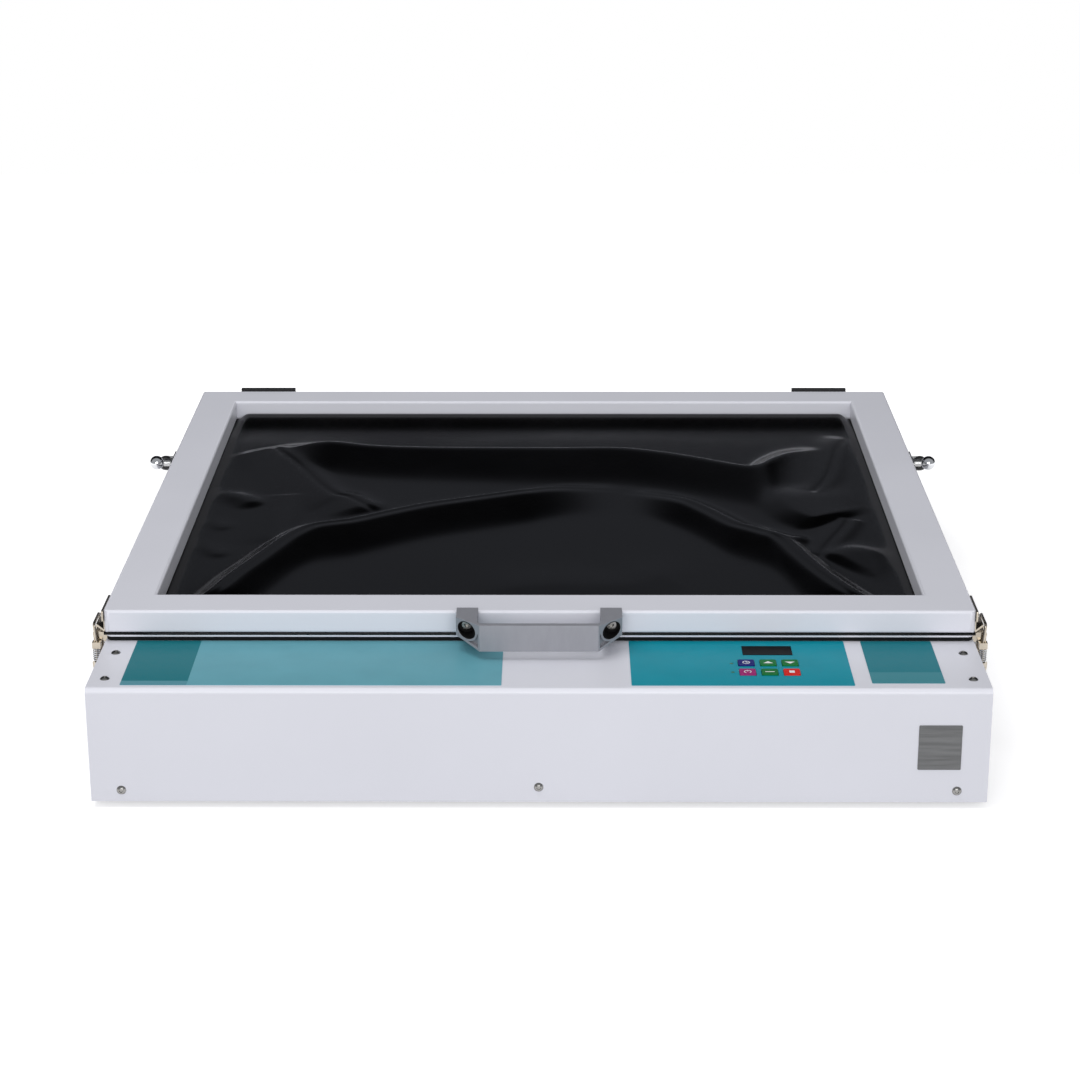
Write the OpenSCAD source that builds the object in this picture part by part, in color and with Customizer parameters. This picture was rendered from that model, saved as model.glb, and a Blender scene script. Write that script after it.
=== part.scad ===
// Screen printing exposure unit: a light table with a vacuum blanket in a hinged lid.
// Origin: centre of the bounding box in X and Y, underside of the feet in Z.
// X runs to the right, Y to the back and Z up.

/* [Casing] */
// Width of the casing
base_w = 730; // [650:1:900]
// Depth of the casing
base_d = 767; // [700:1:900]
// Height of the casing without its feet
base_h = 99; // [92:1:130]
// Thickness of the sheet metal
sheet = 1.5; // [1:0.1:2]
// Depth of the console in front of the lid
console_d = 104; // [100:1:130]
// How far the front cover runs on below the lid
cover_tuck = 7; // [3:1:20]
// Outer radius of the bend along the front edge
bend_r = 4.5; // [3:0.5:10]
// Height of the turned up edge of the bottom pan
pan_lip = 18; // [16:1:25]
// Width of the turned in edges below the deck
flange_w = 15; // [12:1:16]
// Height of the rubber feet
foot_h = 6; // [4:1:12]
// Diameter of the rubber feet
foot_d = 30; // [20:1:45]
// Distance of the feet from the edges of the casing
foot_inset = 45; // [30:1:80]

/* [Exposure bed] */
// Distance from the edge of the glass to the edge of the lid
glass_margin = 29; // [27:1:60]
// Thickness of the exposure glass
glass_t = 6; // [4:1:10]
// Clearance around the glass
glass_play = 1; // [0.5:0.1:2]
// Width of the ledge below the glass
ledge_w = 12; // [10:1:20]
// Thickness of the foam strip below the glass
foam_t = 2; // [1:0.5:4]
// Clear depth of the light box below the ledge
light_depth = 60; // [40:1:64]
// Number of lamp strips
strip_count = 8; // [4:1:12]
// Number of lamps on each strip
lamp_count = 9; // [4:1:14]
// Width of a lamp strip
strip_w = 20; // [14:1:30]

/* [Lid] */
// How far the lid stands out past the casing on each side
lid_proud = 1; // [0:0.5:3]
// Width of the lid tube
tube_w = 40; // [30:1:60]
// Height of the lid tube
tube_h = 20; // [16:1:30]
// Wall of the lid tube
tube_wall = 1.5; // [1:0.1:3]
// Outer radius of the lid tube edges
tube_r = 2.5; // [2:0.1:4]
// Radius of the lid corners seen from above
lid_corner_r = 6; // [3:0.5:12]
// Thickness of the rubber blanket
blanket_t = 1.8; // [1.5:0.1:3]
// Height of the highest fold of the blanket
fold_h = 13; // [4:0.5:14]
// Thickness of the clamp frame below the blanket
clamp_t = 2; // [1.5:0.1:4]
// Width of the clamp frame
clamp_w = 35; // [25:1:38]
// Thickness of the seal below the clamp frame
seal_t = 3.7; // [3:0.1:6]
// Width of the seal
seal_w = 14; // [8:1:20]
// Gap between the seal and the deck at rest
seal_gap = 0.2; // [0.2:0.1:1]
// How far the lid opens, in degrees
lid_open = 65; // [40:1:75]

/* [Handle] */
// Distance between the two handle screws
handle_pitch = 120; // [96:1:180]
// Length of the handle over all
handle_l = 138; // [130:1:200]
// How far the handle stands out from the lid
handle_reach = 42; // [36:1:60]
// Height of the handle
handle_h = 23; // [20:1:32]
// Width of a handle foot
handle_foot = 18; // [16:1:24]
// Thickness of the handle bar
handle_bar = 5.5; // [5:0.5:12]
// How far the handle stands up past the lid
handle_rise = 3; // [0:0.5:4]

/* [Hinges] */
// Size of a hinge over both leaves
hinge_size = 60; // [50:1:70]
// Length of a hinge along its pin
hinge_l = 58; // [50:1:80]
// Distance of each hinge from the side of the casing
hinge_in = 69; // [60:1:165]
// Diameter of the hinge barrel
barrel_d = 13; // [12:0.5:14]
// Diameter of the hinge pin
hinge_pin_d = 6; // [5:0.1:8]
// Thickness of a hinge leaf
leaf_t = 5; // [4:0.5:6]

/* [Gas springs] */
// Distance of the lid joint in front of the hinge pin
strut_lid_y = 229.5; // [228:0.5:240]
// Height of the lid joint above the underside of the lid
strut_lid_z = 10; // [7:0.5:11]
// Distance of the gas springs from the side of the casing
strut_out = 19.5; // [18:0.5:26]
// Distance of the lower joint in front of the hinge pin
strut_base_y = 20; // [18:1:30]
// Distance of the lower joint below the hinge pin
strut_base_z = 50; // [40:1:60]
// Diameter of the gas spring cylinder
cylinder_d = 15; // [12:1:18]
// Length of the gas spring cylinder
cylinder_l = 150; // [120:1:160]
// Diameter of the gas spring rod
rod_d = 6; // [5:1:10]
// Diameter of the round socket on the rod
ball_d = 14; // [12:0.5:18]

/* [Latches] */
// Distance of the latches behind the front of the lid
latch_y = 21.5; // [20:1:60]
// Height of the lever pivot above the deck
lever_pivot_z = 2; // [1:0.5:4]
// Distance of the lever pivot from the side of the casing
lever_pivot_out = 10; // [9.5:0.1:12]
// Throw of the lever between its two pivots
lever_throw = 8; // [7:0.5:9]
// Distance between the two legs of the bail
bail_w = 27; // [27:1:34]
// Diameter of the bail wire
bail_wire = 2.5; // [2:0.1:3]
// Height of the bail bar above its pivot
bail_rise = 18.5; // [17:0.5:22]
// How far the bail leans out between its pivot and its bar
bail_lean = 1.5; // [0:0.1:2]
// Turns of each latch spring
spring_turns = 6; // [3:1:8]
// Length of each latch spring
spring_l = 12.5; // [9:0.5:14]
// Outer diameter of each latch spring
spring_d = 7.2; // [5:0.1:7.4]
// Length of the latch lever below its pivot
lever_l = 36; // [34:1:50]

/* [Controls] */
// Left edge of the control panel from the middle
panel_x = 75; // [60:1:90]
// Width of the control panel
panel_w = 180; // [178:1:190]
// Distance of the panel and labels from the front edge
panel_y = 8; // [6:1:12]
// Thickness of the printed films
film_t = 0.4; // [0.2:0.1:0.8]
// Size of a key cap
key_w = 13.3; // [11:0.1:14.5]
// Distance between key columns
key_pitch_x = 18; // [17:0.5:22]
// Distance between key rows
key_pitch_y = 20; // [17:0.5:22]
// Distance of the front key row from the front edge
key_y = 35.5; // [33:0.5:40]
// Distance of the middle key column from the panel's left edge
key_x = 113.4; // [100:0.5:120]
// Travel of a key
key_travel = 0.5; // [0.3:0.1:1]
// Width of the display window
display_w = 41; // [30:0.5:50]
// Depth of the display window
display_d = 19.5; // [14:0.5:22]
// Distance of the display from the front edge
display_y = 83; // [80:0.5:88]

/* [Power and air] */
// Distance of the fan from the middle
fan_x = 120; // [60:1:180]
// Size of the square fan
fan_size = 60; // [50:1:70]
// Thickness of the fan
fan_t = 25; // [20:1:28]
// Number of fan blades
fan_blades = 7; // [5:1:11]
// Distance of the mains inlet from the right side of the casing
inlet_in = 130; // [115:1:165]
// Width of the mains inlet flange
inlet_w = 50; // [48:1:60]
// Height of the mains inlet flange
inlet_h = 58; // [56:1:66]
// Swing of the mains rocker in degrees
rocker_swing = 16; // [10:1:20]
// Outer diameter of the vacuum hose
hose_d = 8; // [6:0.5:9]

/* [Hidden] */
$fn = 48;

// Running clearance between a pin and its hole
pin_play = 0.08;
// Clearance around a screw shank
screw_play = 0.1;
// Cut that reaches past a face
past = 1;

// Main planes
screw_head_h = 2.2;
screw_head_d = 8;
y_front = -(base_d + barrel_d - screw_head_h) / 2;
y_back = y_front + base_d;
half_w = base_w / 2;
pan_z = foot_h + sheet;
deck_z = foot_h + base_h;
under_deck_z = deck_z - sheet;

// Lid stack
seal_z = deck_z + seal_gap;
clamp_z = seal_z + seal_t;
blanket_z = clamp_z + clamp_t;
lid_z = blanket_z + blanket_t;
lid_top = lid_z + tube_h;
lid_y = y_front + console_d;
lid_d = y_back - lid_y;
lid_w = base_w + 2 * lid_proud;
lid_side = half_w + lid_proud;
window_w = lid_w - 2 * tube_w;
window_d = lid_d - 2 * tube_w;
clamp_inset = 1;
seal_inset = 1.5;

// Exposure bed
glass_w = base_w - 2 * glass_margin;
glass_y = lid_y + glass_margin;
glass_d = y_back - glass_margin - glass_y;
glass_z = deck_z - glass_t;
foam_z = glass_z - foam_t;
ledge_z = foam_z - sheet;
ledge_gap_w = glass_w - 2 * ledge_w;
ledge_gap_d = glass_d - 2 * ledge_w;
ledge_gap_y = glass_y + ledge_w;
box_sheet = 1;
box_w = ledge_gap_w - 4;
box_y = ledge_gap_y + 2;
box_d = ledge_gap_d - 4;
box_floor_z = ledge_z - light_depth;
box_rim = 8;

// Hinge line
hinge_y = y_back + barrel_d / 2;
hinge_z = deck_z;
hinge_x = half_w - hinge_in;
knuckle_l = hinge_l / 3;
knuckle_gap = 0.3;
leaf_gap = 0.7;
leaf_h = hinge_size / 2;

// Gas spring line, from the lower joint to the lid joint
strut_low_y = hinge_y - strut_base_y;
strut_low_z = hinge_z - strut_base_z;
strut_high_y = hinge_y - strut_lid_y;
strut_high_z = lid_z + strut_lid_z;
strut_run_y = strut_low_y - strut_high_y;
strut_run_z = strut_high_z - strut_low_z;
strut_len = sqrt(strut_run_y * strut_run_y + strut_run_z * strut_run_z);
strut_angle = atan2(strut_run_z, strut_run_y);
strut_eye_d = 16;
strut_eye_w = 12;
strut_pin_d = 8;
stud_gap = 0.3;

// Latch geometry, measured from the side of the casing and from the deck
latch_mid_y = lid_y + latch_y;
over_centre = 1.1;
bail_out = lever_pivot_out - over_centre;
bail_z = lever_pivot_z - sqrt(lever_throw * lever_throw - over_centre * over_centre);
lever_plate = 1.5;
lever_pin_d = 3;
ear_r = 2.6;
ear_gap = 0.3;
ear_out_y = 9.5;
ear_in_y = ear_out_y - lever_plate;
cheek_out_y = ear_in_y - ear_gap;
cheek_in_y = cheek_out_y - lever_plate;
trunnion_d = 4;
trunnion_l = bail_w + 6;
block_w = 7;
block_h = 5.6;
keeper_t = 1.5;
keeper_gap = 0.35;
bar_z = bail_z + bail_rise;
hook_lip_out = bail_out + bail_lean - bail_wire / 2 - keeper_gap;
hook_slope = 40;
nut_h = 4;
spring_wire = 1;

// Lists of places
top_screw_x = half_w - 13;
top_screw_y = [21.5, 78];
front_screws = [[-(half_w - 25), 10], [0, 13], [half_w - 25, 10]];
foot_x = half_w - foot_inset;
inlet_x = half_w - inlet_in;
foot_ys = [y_front + foot_inset, y_back - foot_inset];
key_columns = [-1, 0, 1];
key_rows = [0, 1];
key_centre_x = panel_x + key_x;
display_x = panel_x + 114.5;
led_spots = [[83.3, 55], [83.3, 36]];
label_left_x = -338;
label_left_w = 308;
label_right_x = 269.3;
label_right_w = 59;
label_end = console_d + 1;

// Screw with a domed head and a hexagon socket, its head on the plane z = 0
module dome_screw(d, head_d, head_h, length) {
  dome_r = (head_d * head_d / 4 + head_h * head_h) / (2 * head_h);
  socket_d = head_d * 0.45;
  difference() {
    union() {
      intersection() {
        translate([0, 0, head_h - dome_r])
          sphere(r = dome_r);
        cylinder(d = head_d, h = head_h);
      }
      translate([0, 0, -length])
        cylinder(d = d, h = length);
    }
    translate([0, 0, head_h - 1.2])
      cylinder(d = socket_d, h = past + 1.2, $fn = 6);
  }
}

// Flat outline with round corners, from one corner at the origin
module round_plate(w, d, r) {
  translate([r, 0])
    square([w - 2 * r, d]);
  translate([0, r])
    square([w, d - 2 * r]);
  for (x = [r, w - r], y = [r, d - r])
    translate([x, y])
      circle(r = r);
}

// Flat ring of a given width, centred in X, starting at y
module flat_ring(w, d, band, y, z, h, r = 0.5) {
  translate([-w / 2, y, z])
    linear_extrude(h)
      difference() {
        round_plate(w, d, r);
        translate([band, band])
          square([w - 2 * band, d - 2 * band]);
      }
}

// Puts a piece drawn with its outside along +X on the right (1) or left (-1) side of the casing
module on_side(s) {
  mirror([s < 0 ? 1 : 0, 0, 0])
    translate([half_w, 0, 0])
      children();
}

// Straight tube along one axis between two points that differ in one coordinate
module run(a, b, d) {
  v = b - a;
  translate(a)
    rotate(v[0] != 0 ? [0, v[0] > 0 ? 90 : -90, 0] : v[1] != 0 ? [v[1] > 0 ? -90 : 90, 0, 0] :
      [v[2] > 0 ? 0 : 180, 0, 0])
      cylinder(d = d, h = norm(v));
}

// Casing

module bottom_pan() {
  w = base_w - 2 * sheet;
  d = base_d - 2 * sheet;
  slot_l = 50;
  color("gainsboro")
    difference() {
      translate([-w / 2, y_front + sheet, foot_h])
        cube([w, d, pan_lip]);
      translate([-w / 2 + sheet, y_front + 2 * sheet, pan_z])
        cube([w - 2 * sheet, d - 2 * sheet, pan_lip]);
      for (x = [-foot_x, foot_x], y = foot_ys)
        translate([x, y, foot_h - past])
          cylinder(d = 5 + 2 * screw_play, h = sheet + 2 * past);
      for (spot = front_screws)
        translate([spot[0], y_front, foot_h + spot[1]])
          rotate([-90, 0, 0])
            cylinder(d = 4 + 2 * screw_play, h = 3 * sheet);
      for (side = [-1, 1], i = [0:8])
        translate([side * 150 - slot_l / 2, y_front + 200 + 14 * i, foot_h - past])
          cube([slot_l, 5, sheet + 2 * past]);
    }
}

// Side of a panel seen along X, with the corner that follows the front bend
module side_outline() {
  inner_r = bend_r - sheet;
  difference() {
    translate([y_front + sheet, foot_h])
      square([base_d - sheet, base_h - sheet]);
    difference() {
      translate([y_front + sheet - past, under_deck_z - inner_r])
        square([inner_r + past, inner_r + past]);
      translate([y_front + sheet + inner_r, under_deck_z - inner_r])
        circle(r = inner_r);
    }
  }
}

module side_panel(s) {
  color("whitesmoke")
    difference() {
      on_side(s) {
        translate([-sheet, 0, 0])
          rotate([90, 0, 90])
            linear_extrude(sheet)
              side_outline();
        translate([-flange_w, y_front + bend_r + sheet, under_deck_z - sheet])
          cube([flange_w - sheet / 2, base_d - bend_r - 3 * sheet, sheet]);
      }
      on_side(s) {
        for (y = top_screw_y)
          translate([-half_w + top_screw_x, y_front + y, under_deck_z - 2 * sheet])
            cylinder(d = 4 + 2 * screw_play, h = 3 * sheet);
        for (spot = latch_screw_spots())
          translate([past, spot[0], spot[1]])
            rotate([0, -90, 0])
              cylinder(d = 3 + 2 * screw_play, h = sheet + 2 * past);
        for (dz = [-1, 1])
          translate([past, strut_low_y, strut_low_z + dz * 13])
            rotate([0, -90, 0])
              cylinder(d = 4 + 2 * screw_play, h = sheet + 2 * past);
      }
    }
}

module side_panel_left() {
  side_panel(-1);
}

module side_panel_right() {
  side_panel(1);
}

fan_z = foot_h + base_h / 2;
fan_bore = fan_size - 3;
inlet_body_w = inlet_w - 4;
inlet_body_h = inlet_h - 8;
hinge_screw_dx = hinge_l / 2 - 12;
hinge_screw_dz = leaf_h - 11;

module back_panel() {
  w = base_w - 2 * sheet;
  color("whitesmoke")
    difference() {
      translate([-w / 2, y_back - sheet, foot_h])
        cube([w, sheet, base_h - sheet]);
      translate([fan_x, y_back + past, fan_z])
        rotate([90, 0, 0])
          cylinder(d = fan_bore, h = sheet + 2 * past);
      for (dx = [-1, 1], dz = [-1, 1])
        translate([fan_x + dx * (fan_size / 2 - 5), y_back + past, fan_z + dz * (fan_size / 2 - 5)])
          rotate([90, 0, 0])
            cylinder(d = 4 + 2 * screw_play, h = sheet + 2 * past);
      translate([inlet_x - inlet_body_w / 2, y_back - sheet - past, fan_z - inlet_body_h / 2])
        cube([inlet_body_w, sheet + 2 * past, inlet_body_h]);
      for (side = [-1, 1], dx = [-1, 1])
        translate([side * hinge_x + dx * hinge_screw_dx, y_back + past, hinge_z - hinge_screw_dz])
          rotate([90, 0, 0])
            cylinder(d = 6 + 2 * screw_play, h = sheet + 2 * past);
      for (i = [0:11])
        translate([-220 + 12 * i, y_back - sheet - past, foot_h + 30])
          cube([5, sheet + 2 * past, 40]);
    }
}

// Sheet bent once along the front edge, drawn in the plane across the bend
module cover_outline() {
  d = console_d + cover_tuck;
  translate([bend_r, base_h - sheet])
    square([d - bend_r, sheet]);
  square([sheet, base_h - bend_r]);
  intersection() {
    translate([0, base_h - bend_r])
      square([bend_r, bend_r]);
    translate([bend_r, base_h - bend_r])
      difference() {
        circle(r = bend_r);
        circle(r = bend_r - sheet);
      }
  }
}

module front_cover() {
  key_hole = key_w + 0.7;
  color("whitesmoke")
    difference() {
      translate([-half_w, y_front, foot_h])
        rotate([90, 0, 90])
          linear_extrude(base_w)
            cover_outline();
      for (side = [-1, 1], y = top_screw_y)
        translate([side * top_screw_x, y_front + y, deck_z - sheet - past])
          cylinder(d = 4 + 2 * screw_play, h = sheet + 2 * past);
      for (spot = front_screws)
        translate([spot[0], y_front - past, foot_h + spot[1]])
          rotate([-90, 0, 0])
            cylinder(d = 4 + 2 * screw_play, h = sheet + 2 * past);
      for (c = key_columns, r = key_rows)
        translate([key_centre_x + c * key_pitch_x - key_hole / 2,
          y_front + key_y + r * key_pitch_y - key_hole / 2, deck_z - sheet - past])
          cube([key_hole, key_hole, sheet + 2 * past]);
      translate([display_x - display_w / 2 - 0.2, y_front + display_y - display_d / 2 - 0.2,
        deck_z - sheet - past])
        cube([display_w + 0.4, display_d + 0.4, sheet + 2 * past]);
      for (spot = led_spots)
        translate([panel_x + spot[0], y_front + spot[1], deck_z - sheet - past])
          cylinder(d = 3.2, h = sheet + 2 * past);
    }
}

module casing_screws() {
  color("silver") {
    for (side = [-1, 1], y = top_screw_y)
      translate([side * top_screw_x, y_front + y, deck_z])
        dome_screw(4, screw_head_d, screw_head_h, 8);
    for (spot = front_screws)
      translate([spot[0], y_front, foot_h + spot[1]])
        rotate([90, 0, 0])
          dome_screw(4, screw_head_d, screw_head_h, 8);
    for (x = [-foot_x, foot_x], y = foot_ys)
      translate([x, y, foot_h / 2])
        rotate([180, 0, 0])
          dome_screw(5, 10, foot_h / 3, foot_h / 2 + sheet + 4);
    for (side = [-1, 1], dx = [-1, 1])
      translate([side * hinge_x + dx * hinge_screw_dx, y_back + leaf_t, hinge_z - hinge_screw_dz])
        rotate([-90, 0, 0])
          sunk_screw(6, leaf_t + 8);
    for (s = [-1, 1])
      on_side(s) {
        for (spot = latch_screw_spots())
          translate([lever_plate, spot[0], spot[1]])
            rotate([0, 90, 0])
              dome_screw(3, 5.5, 1.6, 6);
        for (dz = [-1, 1])
          translate([2, strut_low_y, strut_low_z + dz * 13])
            rotate([0, 90, 0])
              dome_screw(4, 7, 2, 8);
      }
    for (dx = [-1, 1], dz = [-1, 1])
      translate([fan_x + dx * (fan_size / 2 - 5), y_back + 2, fan_z + dz * (fan_size / 2 - 5)])
        rotate([-90, 0, 0])
          dome_screw(4, 7, 2, 14);
  }
}

// Countersunk screw, its flat head level with the plane z = 0
module sunk_screw(d, length) {
  difference() {
    union() {
      translate([0, 0, -d / 2])
        cylinder(d1 = d, d2 = 2 * d, h = d / 2);
      translate([0, 0, -length])
        cylinder(d = d, h = length - d / 2);
    }
    translate([0, 0, -d / 3])
      cylinder(d = d * 0.6, h = d, $fn = 6);
  }
}

// Hole for a countersunk screw
module sunk_hole(d, length) {
  translate([0, 0, -d / 2 - screw_play])
    cylinder(d1 = d + 2 * screw_play, d2 = 2 * d + 2 * screw_play, h = d / 2);
  translate([0, 0, -screw_play - 0.001])
    cylinder(d = 2 * d + 2 * screw_play, h = past);
  translate([0, 0, -length])
    cylinder(d = d + 2 * screw_play, h = length);
}

port_x = -(half_w - glass_margin + 8.3);
port_y = lid_y + 60;
port_d = 7.5;

module deck_frame() {
  y = y_front + console_d + cover_tuck + 0.3;
  color("whitesmoke")
    difference() {
      translate([-half_w, y, under_deck_z])
        cube([base_w, y_back - y, sheet]);
      translate([-glass_w / 2 - glass_play, glass_y - glass_play, under_deck_z - past])
        cube([glass_w + 2 * glass_play, glass_d + 2 * glass_play, sheet + 2 * past]);
      translate([port_x, port_y, under_deck_z - past])
        cylinder(d = port_d + 2 * screw_play, h = sheet + 2 * past);
    }
}

module glass_ledge() {
  w = glass_w + 2 * (glass_play + sheet);
  d = glass_d + 2 * (glass_play + sheet);
  y = glass_y - glass_play - sheet;
  color("lightgray") {
    flat_ring(w, d, sheet, y, ledge_z, under_deck_z - ledge_z);
    flat_ring(w, d, ledge_w + glass_play + sheet, y, ledge_z, sheet);
  }
}

module glass_gasket() {
  color("dimgray")
    flat_ring(glass_w, glass_d, ledge_w - 2, glass_y, foam_z, foam_t);
}

module exposure_glass() {
  color("lightcyan", 0.5)
    translate([-glass_w / 2, glass_y, glass_z])
      linear_extrude(glass_t)
        round_plate(glass_w, glass_d, 3);
}

module feet() {
  color("black")
    for (x = [-foot_x, foot_x], y = foot_ys)
      translate([x, y, 0])
        difference() {
          union() {
            cylinder(d1 = foot_d - 3, d2 = foot_d, h = 1.5);
            translate([0, 0, 1.5])
              cylinder(d = foot_d, h = foot_h - 1.5);
          }
          translate([0, 0, -past])
            cylinder(d = 11, h = past + foot_h / 2);
          cylinder(d = 5 + 2 * screw_play, h = foot_h + past);
        }
}

// Films, plate and controls

module control_overlay() {
  key_hole = key_w + 0.7;
  color("teal")
    translate([0, y_front, deck_z])
      linear_extrude(film_t)
        difference() {
          translate([panel_x, panel_y])
            round_plate(panel_w, label_end - panel_y, 1);
          for (c = key_columns, r = key_rows)
            translate([key_centre_x + c * key_pitch_x - key_hole / 2,
              key_y + r * key_pitch_y - key_hole / 2])
              square(key_hole);
          translate([display_x - display_w / 2 - 0.2, display_y - display_d / 2 - 0.2])
            square([display_w + 0.4, display_d + 0.4]);
          for (spot = led_spots)
            translate([panel_x + spot[0], spot[1]])
              circle(d = 3.2);
        }
}

module instruction_labels() {
  color("cadetblue")
    translate([0, y_front, deck_z])
      linear_extrude(film_t) {
        translate([label_left_x, panel_y])
          round_plate(label_left_w, label_end - panel_y, 1);
        translate([label_right_x, panel_y + 5])
          round_plate(label_right_w, label_end - panel_y - 5, 1);
      }
}

module nameplate() {
  color("silver")
    translate([307, y_front, foot_h + 29])
      rotate([90, 0, 0])
        linear_extrude(0.8)
          round_plate(35, 39, 1);
}

board_t = 1.6;
board_z = under_deck_z - 16;
switch_h = 5;
key_top = deck_z + film_t + 0.7;
key_flange_t = 1.2;
stem_gap = 0.2;

module control_board() {
  x0 = panel_x + 4;
  w = panel_w - 10;
  d = 84;
  color("darkgreen") {
    translate([x0, y_front + 12, board_z])
      cube([w, d, board_t]);
    for (x = [x0 + 6, x0 + w - 6], y = [18, 90])
      translate([x, y_front + y, board_z + board_t])
        cylinder(d = 6, h = under_deck_z - board_z - board_t);
    for (c = key_columns, r = key_rows)
      translate([key_centre_x + c * key_pitch_x - 4, y_front + key_y + r * key_pitch_y - 4,
        board_z + board_t])
        cube([8, 8, switch_h]);
    for (spot = led_spots)
      translate([panel_x + spot[0], y_front + spot[1], board_z + board_t])
        cylinder(d = 2.9, h = deck_z + film_t - board_z - board_t);
    translate([x0 + 24, y_front + 32, board_z + board_t])
      cube([28, 12, 3]);
    translate([x0 + 20, y_front + 60, board_z + board_t])
      cube([34, 10, 9]);
    translate([x0 + 24, y_front + 20, board_z - 8])
      cube([40, 12, 8]);
  }
}

module display_module() {
  body_d = display_d + 3;
  color("black") {
    translate([display_x - display_w / 2, y_front + display_y - display_d / 2, under_deck_z])
      cube([display_w, display_d, sheet + film_t + 0.3]);
    translate([display_x - display_w / 2 - 1.5, y_front + display_y - body_d / 2,
      board_z + board_t])
      cube([display_w + 3, body_d, under_deck_z - board_z - board_t]);
  }
}

// One key: a cap through the panel, a flange that keeps it in and a stem down to its switch
module key_cap(column, row, tint) {
  flange = key_w + 2.4;
  stem_z = board_z + board_t + switch_h + key_travel + stem_gap;
  color(tint)
    translate([key_centre_x + column * key_pitch_x, y_front + key_y + row * key_pitch_y, 0]) {
      translate([-key_w / 2, -key_w / 2, under_deck_z - 0.2])
        linear_extrude(key_top - under_deck_z + 0.2)
          round_plate(key_w, key_w, 1.5);
      translate([-flange / 2, -flange / 2, under_deck_z - key_flange_t - 0.05])
        cube([flange, flange, key_flange_t]);
      translate([0, 0, stem_z])
        cylinder(d = 4, h = under_deck_z - key_flange_t - stem_z);
    }
}

module key_timer() {
  key_cap(-1, 1, "navy");
}

module key_up() {
  key_cap(0, 1, "darkgreen");
}

module key_down() {
  key_cap(1, 1, "darkgreen");
}

module key_vacuum() {
  key_cap(-1, 0, "mediumvioletred");
}

module key_set() {
  key_cap(0, 0, "darkgreen");
}

module key_stop() {
  key_cap(1, 0, "firebrick");
}

// Pieces inside the casing

supply_x = -70;
supply_y = y_front + 14;
supply_w = 160;
supply_d = 98;
supply_h = 38;

module power_supply() {
  vent = 4;
  color("silver")
    difference() {
      translate([supply_x, supply_y, pan_z])
        cube([supply_w, supply_d, supply_h]);
      translate([supply_x + supply_w - 14, supply_y + 6, pan_z + 14])
        cube([15, supply_d - 12, supply_h]);
      for (i = [0:9], j = [0:4])
        translate([supply_x + 14 + 12 * i, supply_y + 17 + 16 * j, pan_z + supply_h - 2])
          cylinder(d = vent + 2, h = 3, $fn = 24);
    }
}

pump_x = 75 - half_w;
pump_y = y_front + 58;
pump_plate_z = pan_z + 8;
pump_head_w = 42;
pump_motor_d = 46;
pump_motor_l = 62;
pump_axis_z = pump_plate_z + 2 + 28;
nozzle_z = pump_axis_z + 10;

module vacuum_pump() {
  color("slategray") {
    translate([pump_x, pump_y - 30, pump_plate_z])
      cube([pump_head_w + pump_motor_l + 10, 60, 2]);
    difference() {
      translate([pump_x, pump_y - 28, pump_plate_z + 2])
        cube([pump_head_w, 56, 52]);
      for (dy = [-22, 22], dz = [6, 46])
        translate([pump_x - past, pump_y + dy, pump_plate_z + 2 + dz])
          rotate([0, 90, 0])
            cylinder(d = 5, h = 4);
    }
    translate([pump_x + pump_head_w, pump_y, pump_axis_z])
      rotate([0, 90, 0])
        cylinder(d = pump_motor_d, h = pump_motor_l);
    translate([pump_x + pump_head_w + pump_motor_l, pump_y, pump_axis_z])
      rotate([0, 90, 0])
        cylinder(d = 16, h = 5);
    translate([pump_x + pump_head_w + 14, pump_y - 12, pump_plate_z + 2])
      cube([34, 24, 10]);
    translate([pump_x - 12, pump_y, nozzle_z])
      rotate([0, 90, 0])
        cylinder(d = hose_d - 3, h = 12);
  }
}

module pump_mounts() {
  color("black")
    for (x = [pump_x + 10, pump_x + pump_head_w + pump_motor_l], y = [pump_y - 22, pump_y + 22])
      translate([x, y, pan_z]) {
        cylinder(d = 14, h = 2);
        cylinder(d = 9, h = 8);
        translate([0, 0, 6])
          cylinder(d = 14, h = 2);
      }
}

hose_bend_r = 20;

// Quarter bend of a tube in a flat plane, from +X to +Y of its own frame
module tube_bend(r, d, bore) {
  rotate_extrude(angle = 90)
    translate([r, 0])
      difference() {
        circle(d = d);
        if (bore > 0)
          circle(d = bore);
      }
}

// Straight tube of a hose with its bore
module hose_run(a, b) {
  difference() {
    run(a, b, hose_d);
    v = (b - a) / norm(b - a);
    run(a - v, b + v, hose_d - 3);
  }
}

module vacuum_hose() {
  top_z = under_deck_z - 14;
  low_z = nozzle_z;
  r = hose_bend_r;
  side_x = port_x;
  color("black") {
    hose_run([side_x, port_y, low_z + r], [side_x, port_y, top_z]);
    translate([side_x, port_y - r, low_z + r])
      rotate([0, 90, 0])
        rotate([0, 0, 0])
          tube_bend(r, hose_d, hose_d - 3);
    hose_run([side_x, port_y - r, low_z], [side_x, pump_y + r, low_z]);
    translate([side_x + r, pump_y + r, low_z])
      rotate([0, 0, 180])
        tube_bend(r, hose_d, hose_d - 3);
    hose_run([side_x + r, pump_y, low_z], [pump_x - 0.2, pump_y, low_z]);
  }
}

module vacuum_port() {
  top_z = under_deck_z - 14;
  color("goldenrod")
    difference() {
      union() {
        translate([port_x, port_y, top_z])
          cylinder(d = port_d, h = deck_z - top_z);
        translate([port_x, port_y, under_deck_z - 5])
          rotate([0, 0, 30])
            cylinder(d = port_d + 4, h = 3.4, $fn = 6);
        translate([port_x, port_y, top_z - 10])
          cylinder(d = hose_d - 3 - 2 * pin_play, h = 10);
      }
      translate([port_x, port_y, top_z - 10 - past])
        cylinder(d = 3, h = 40);
    }
}

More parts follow.
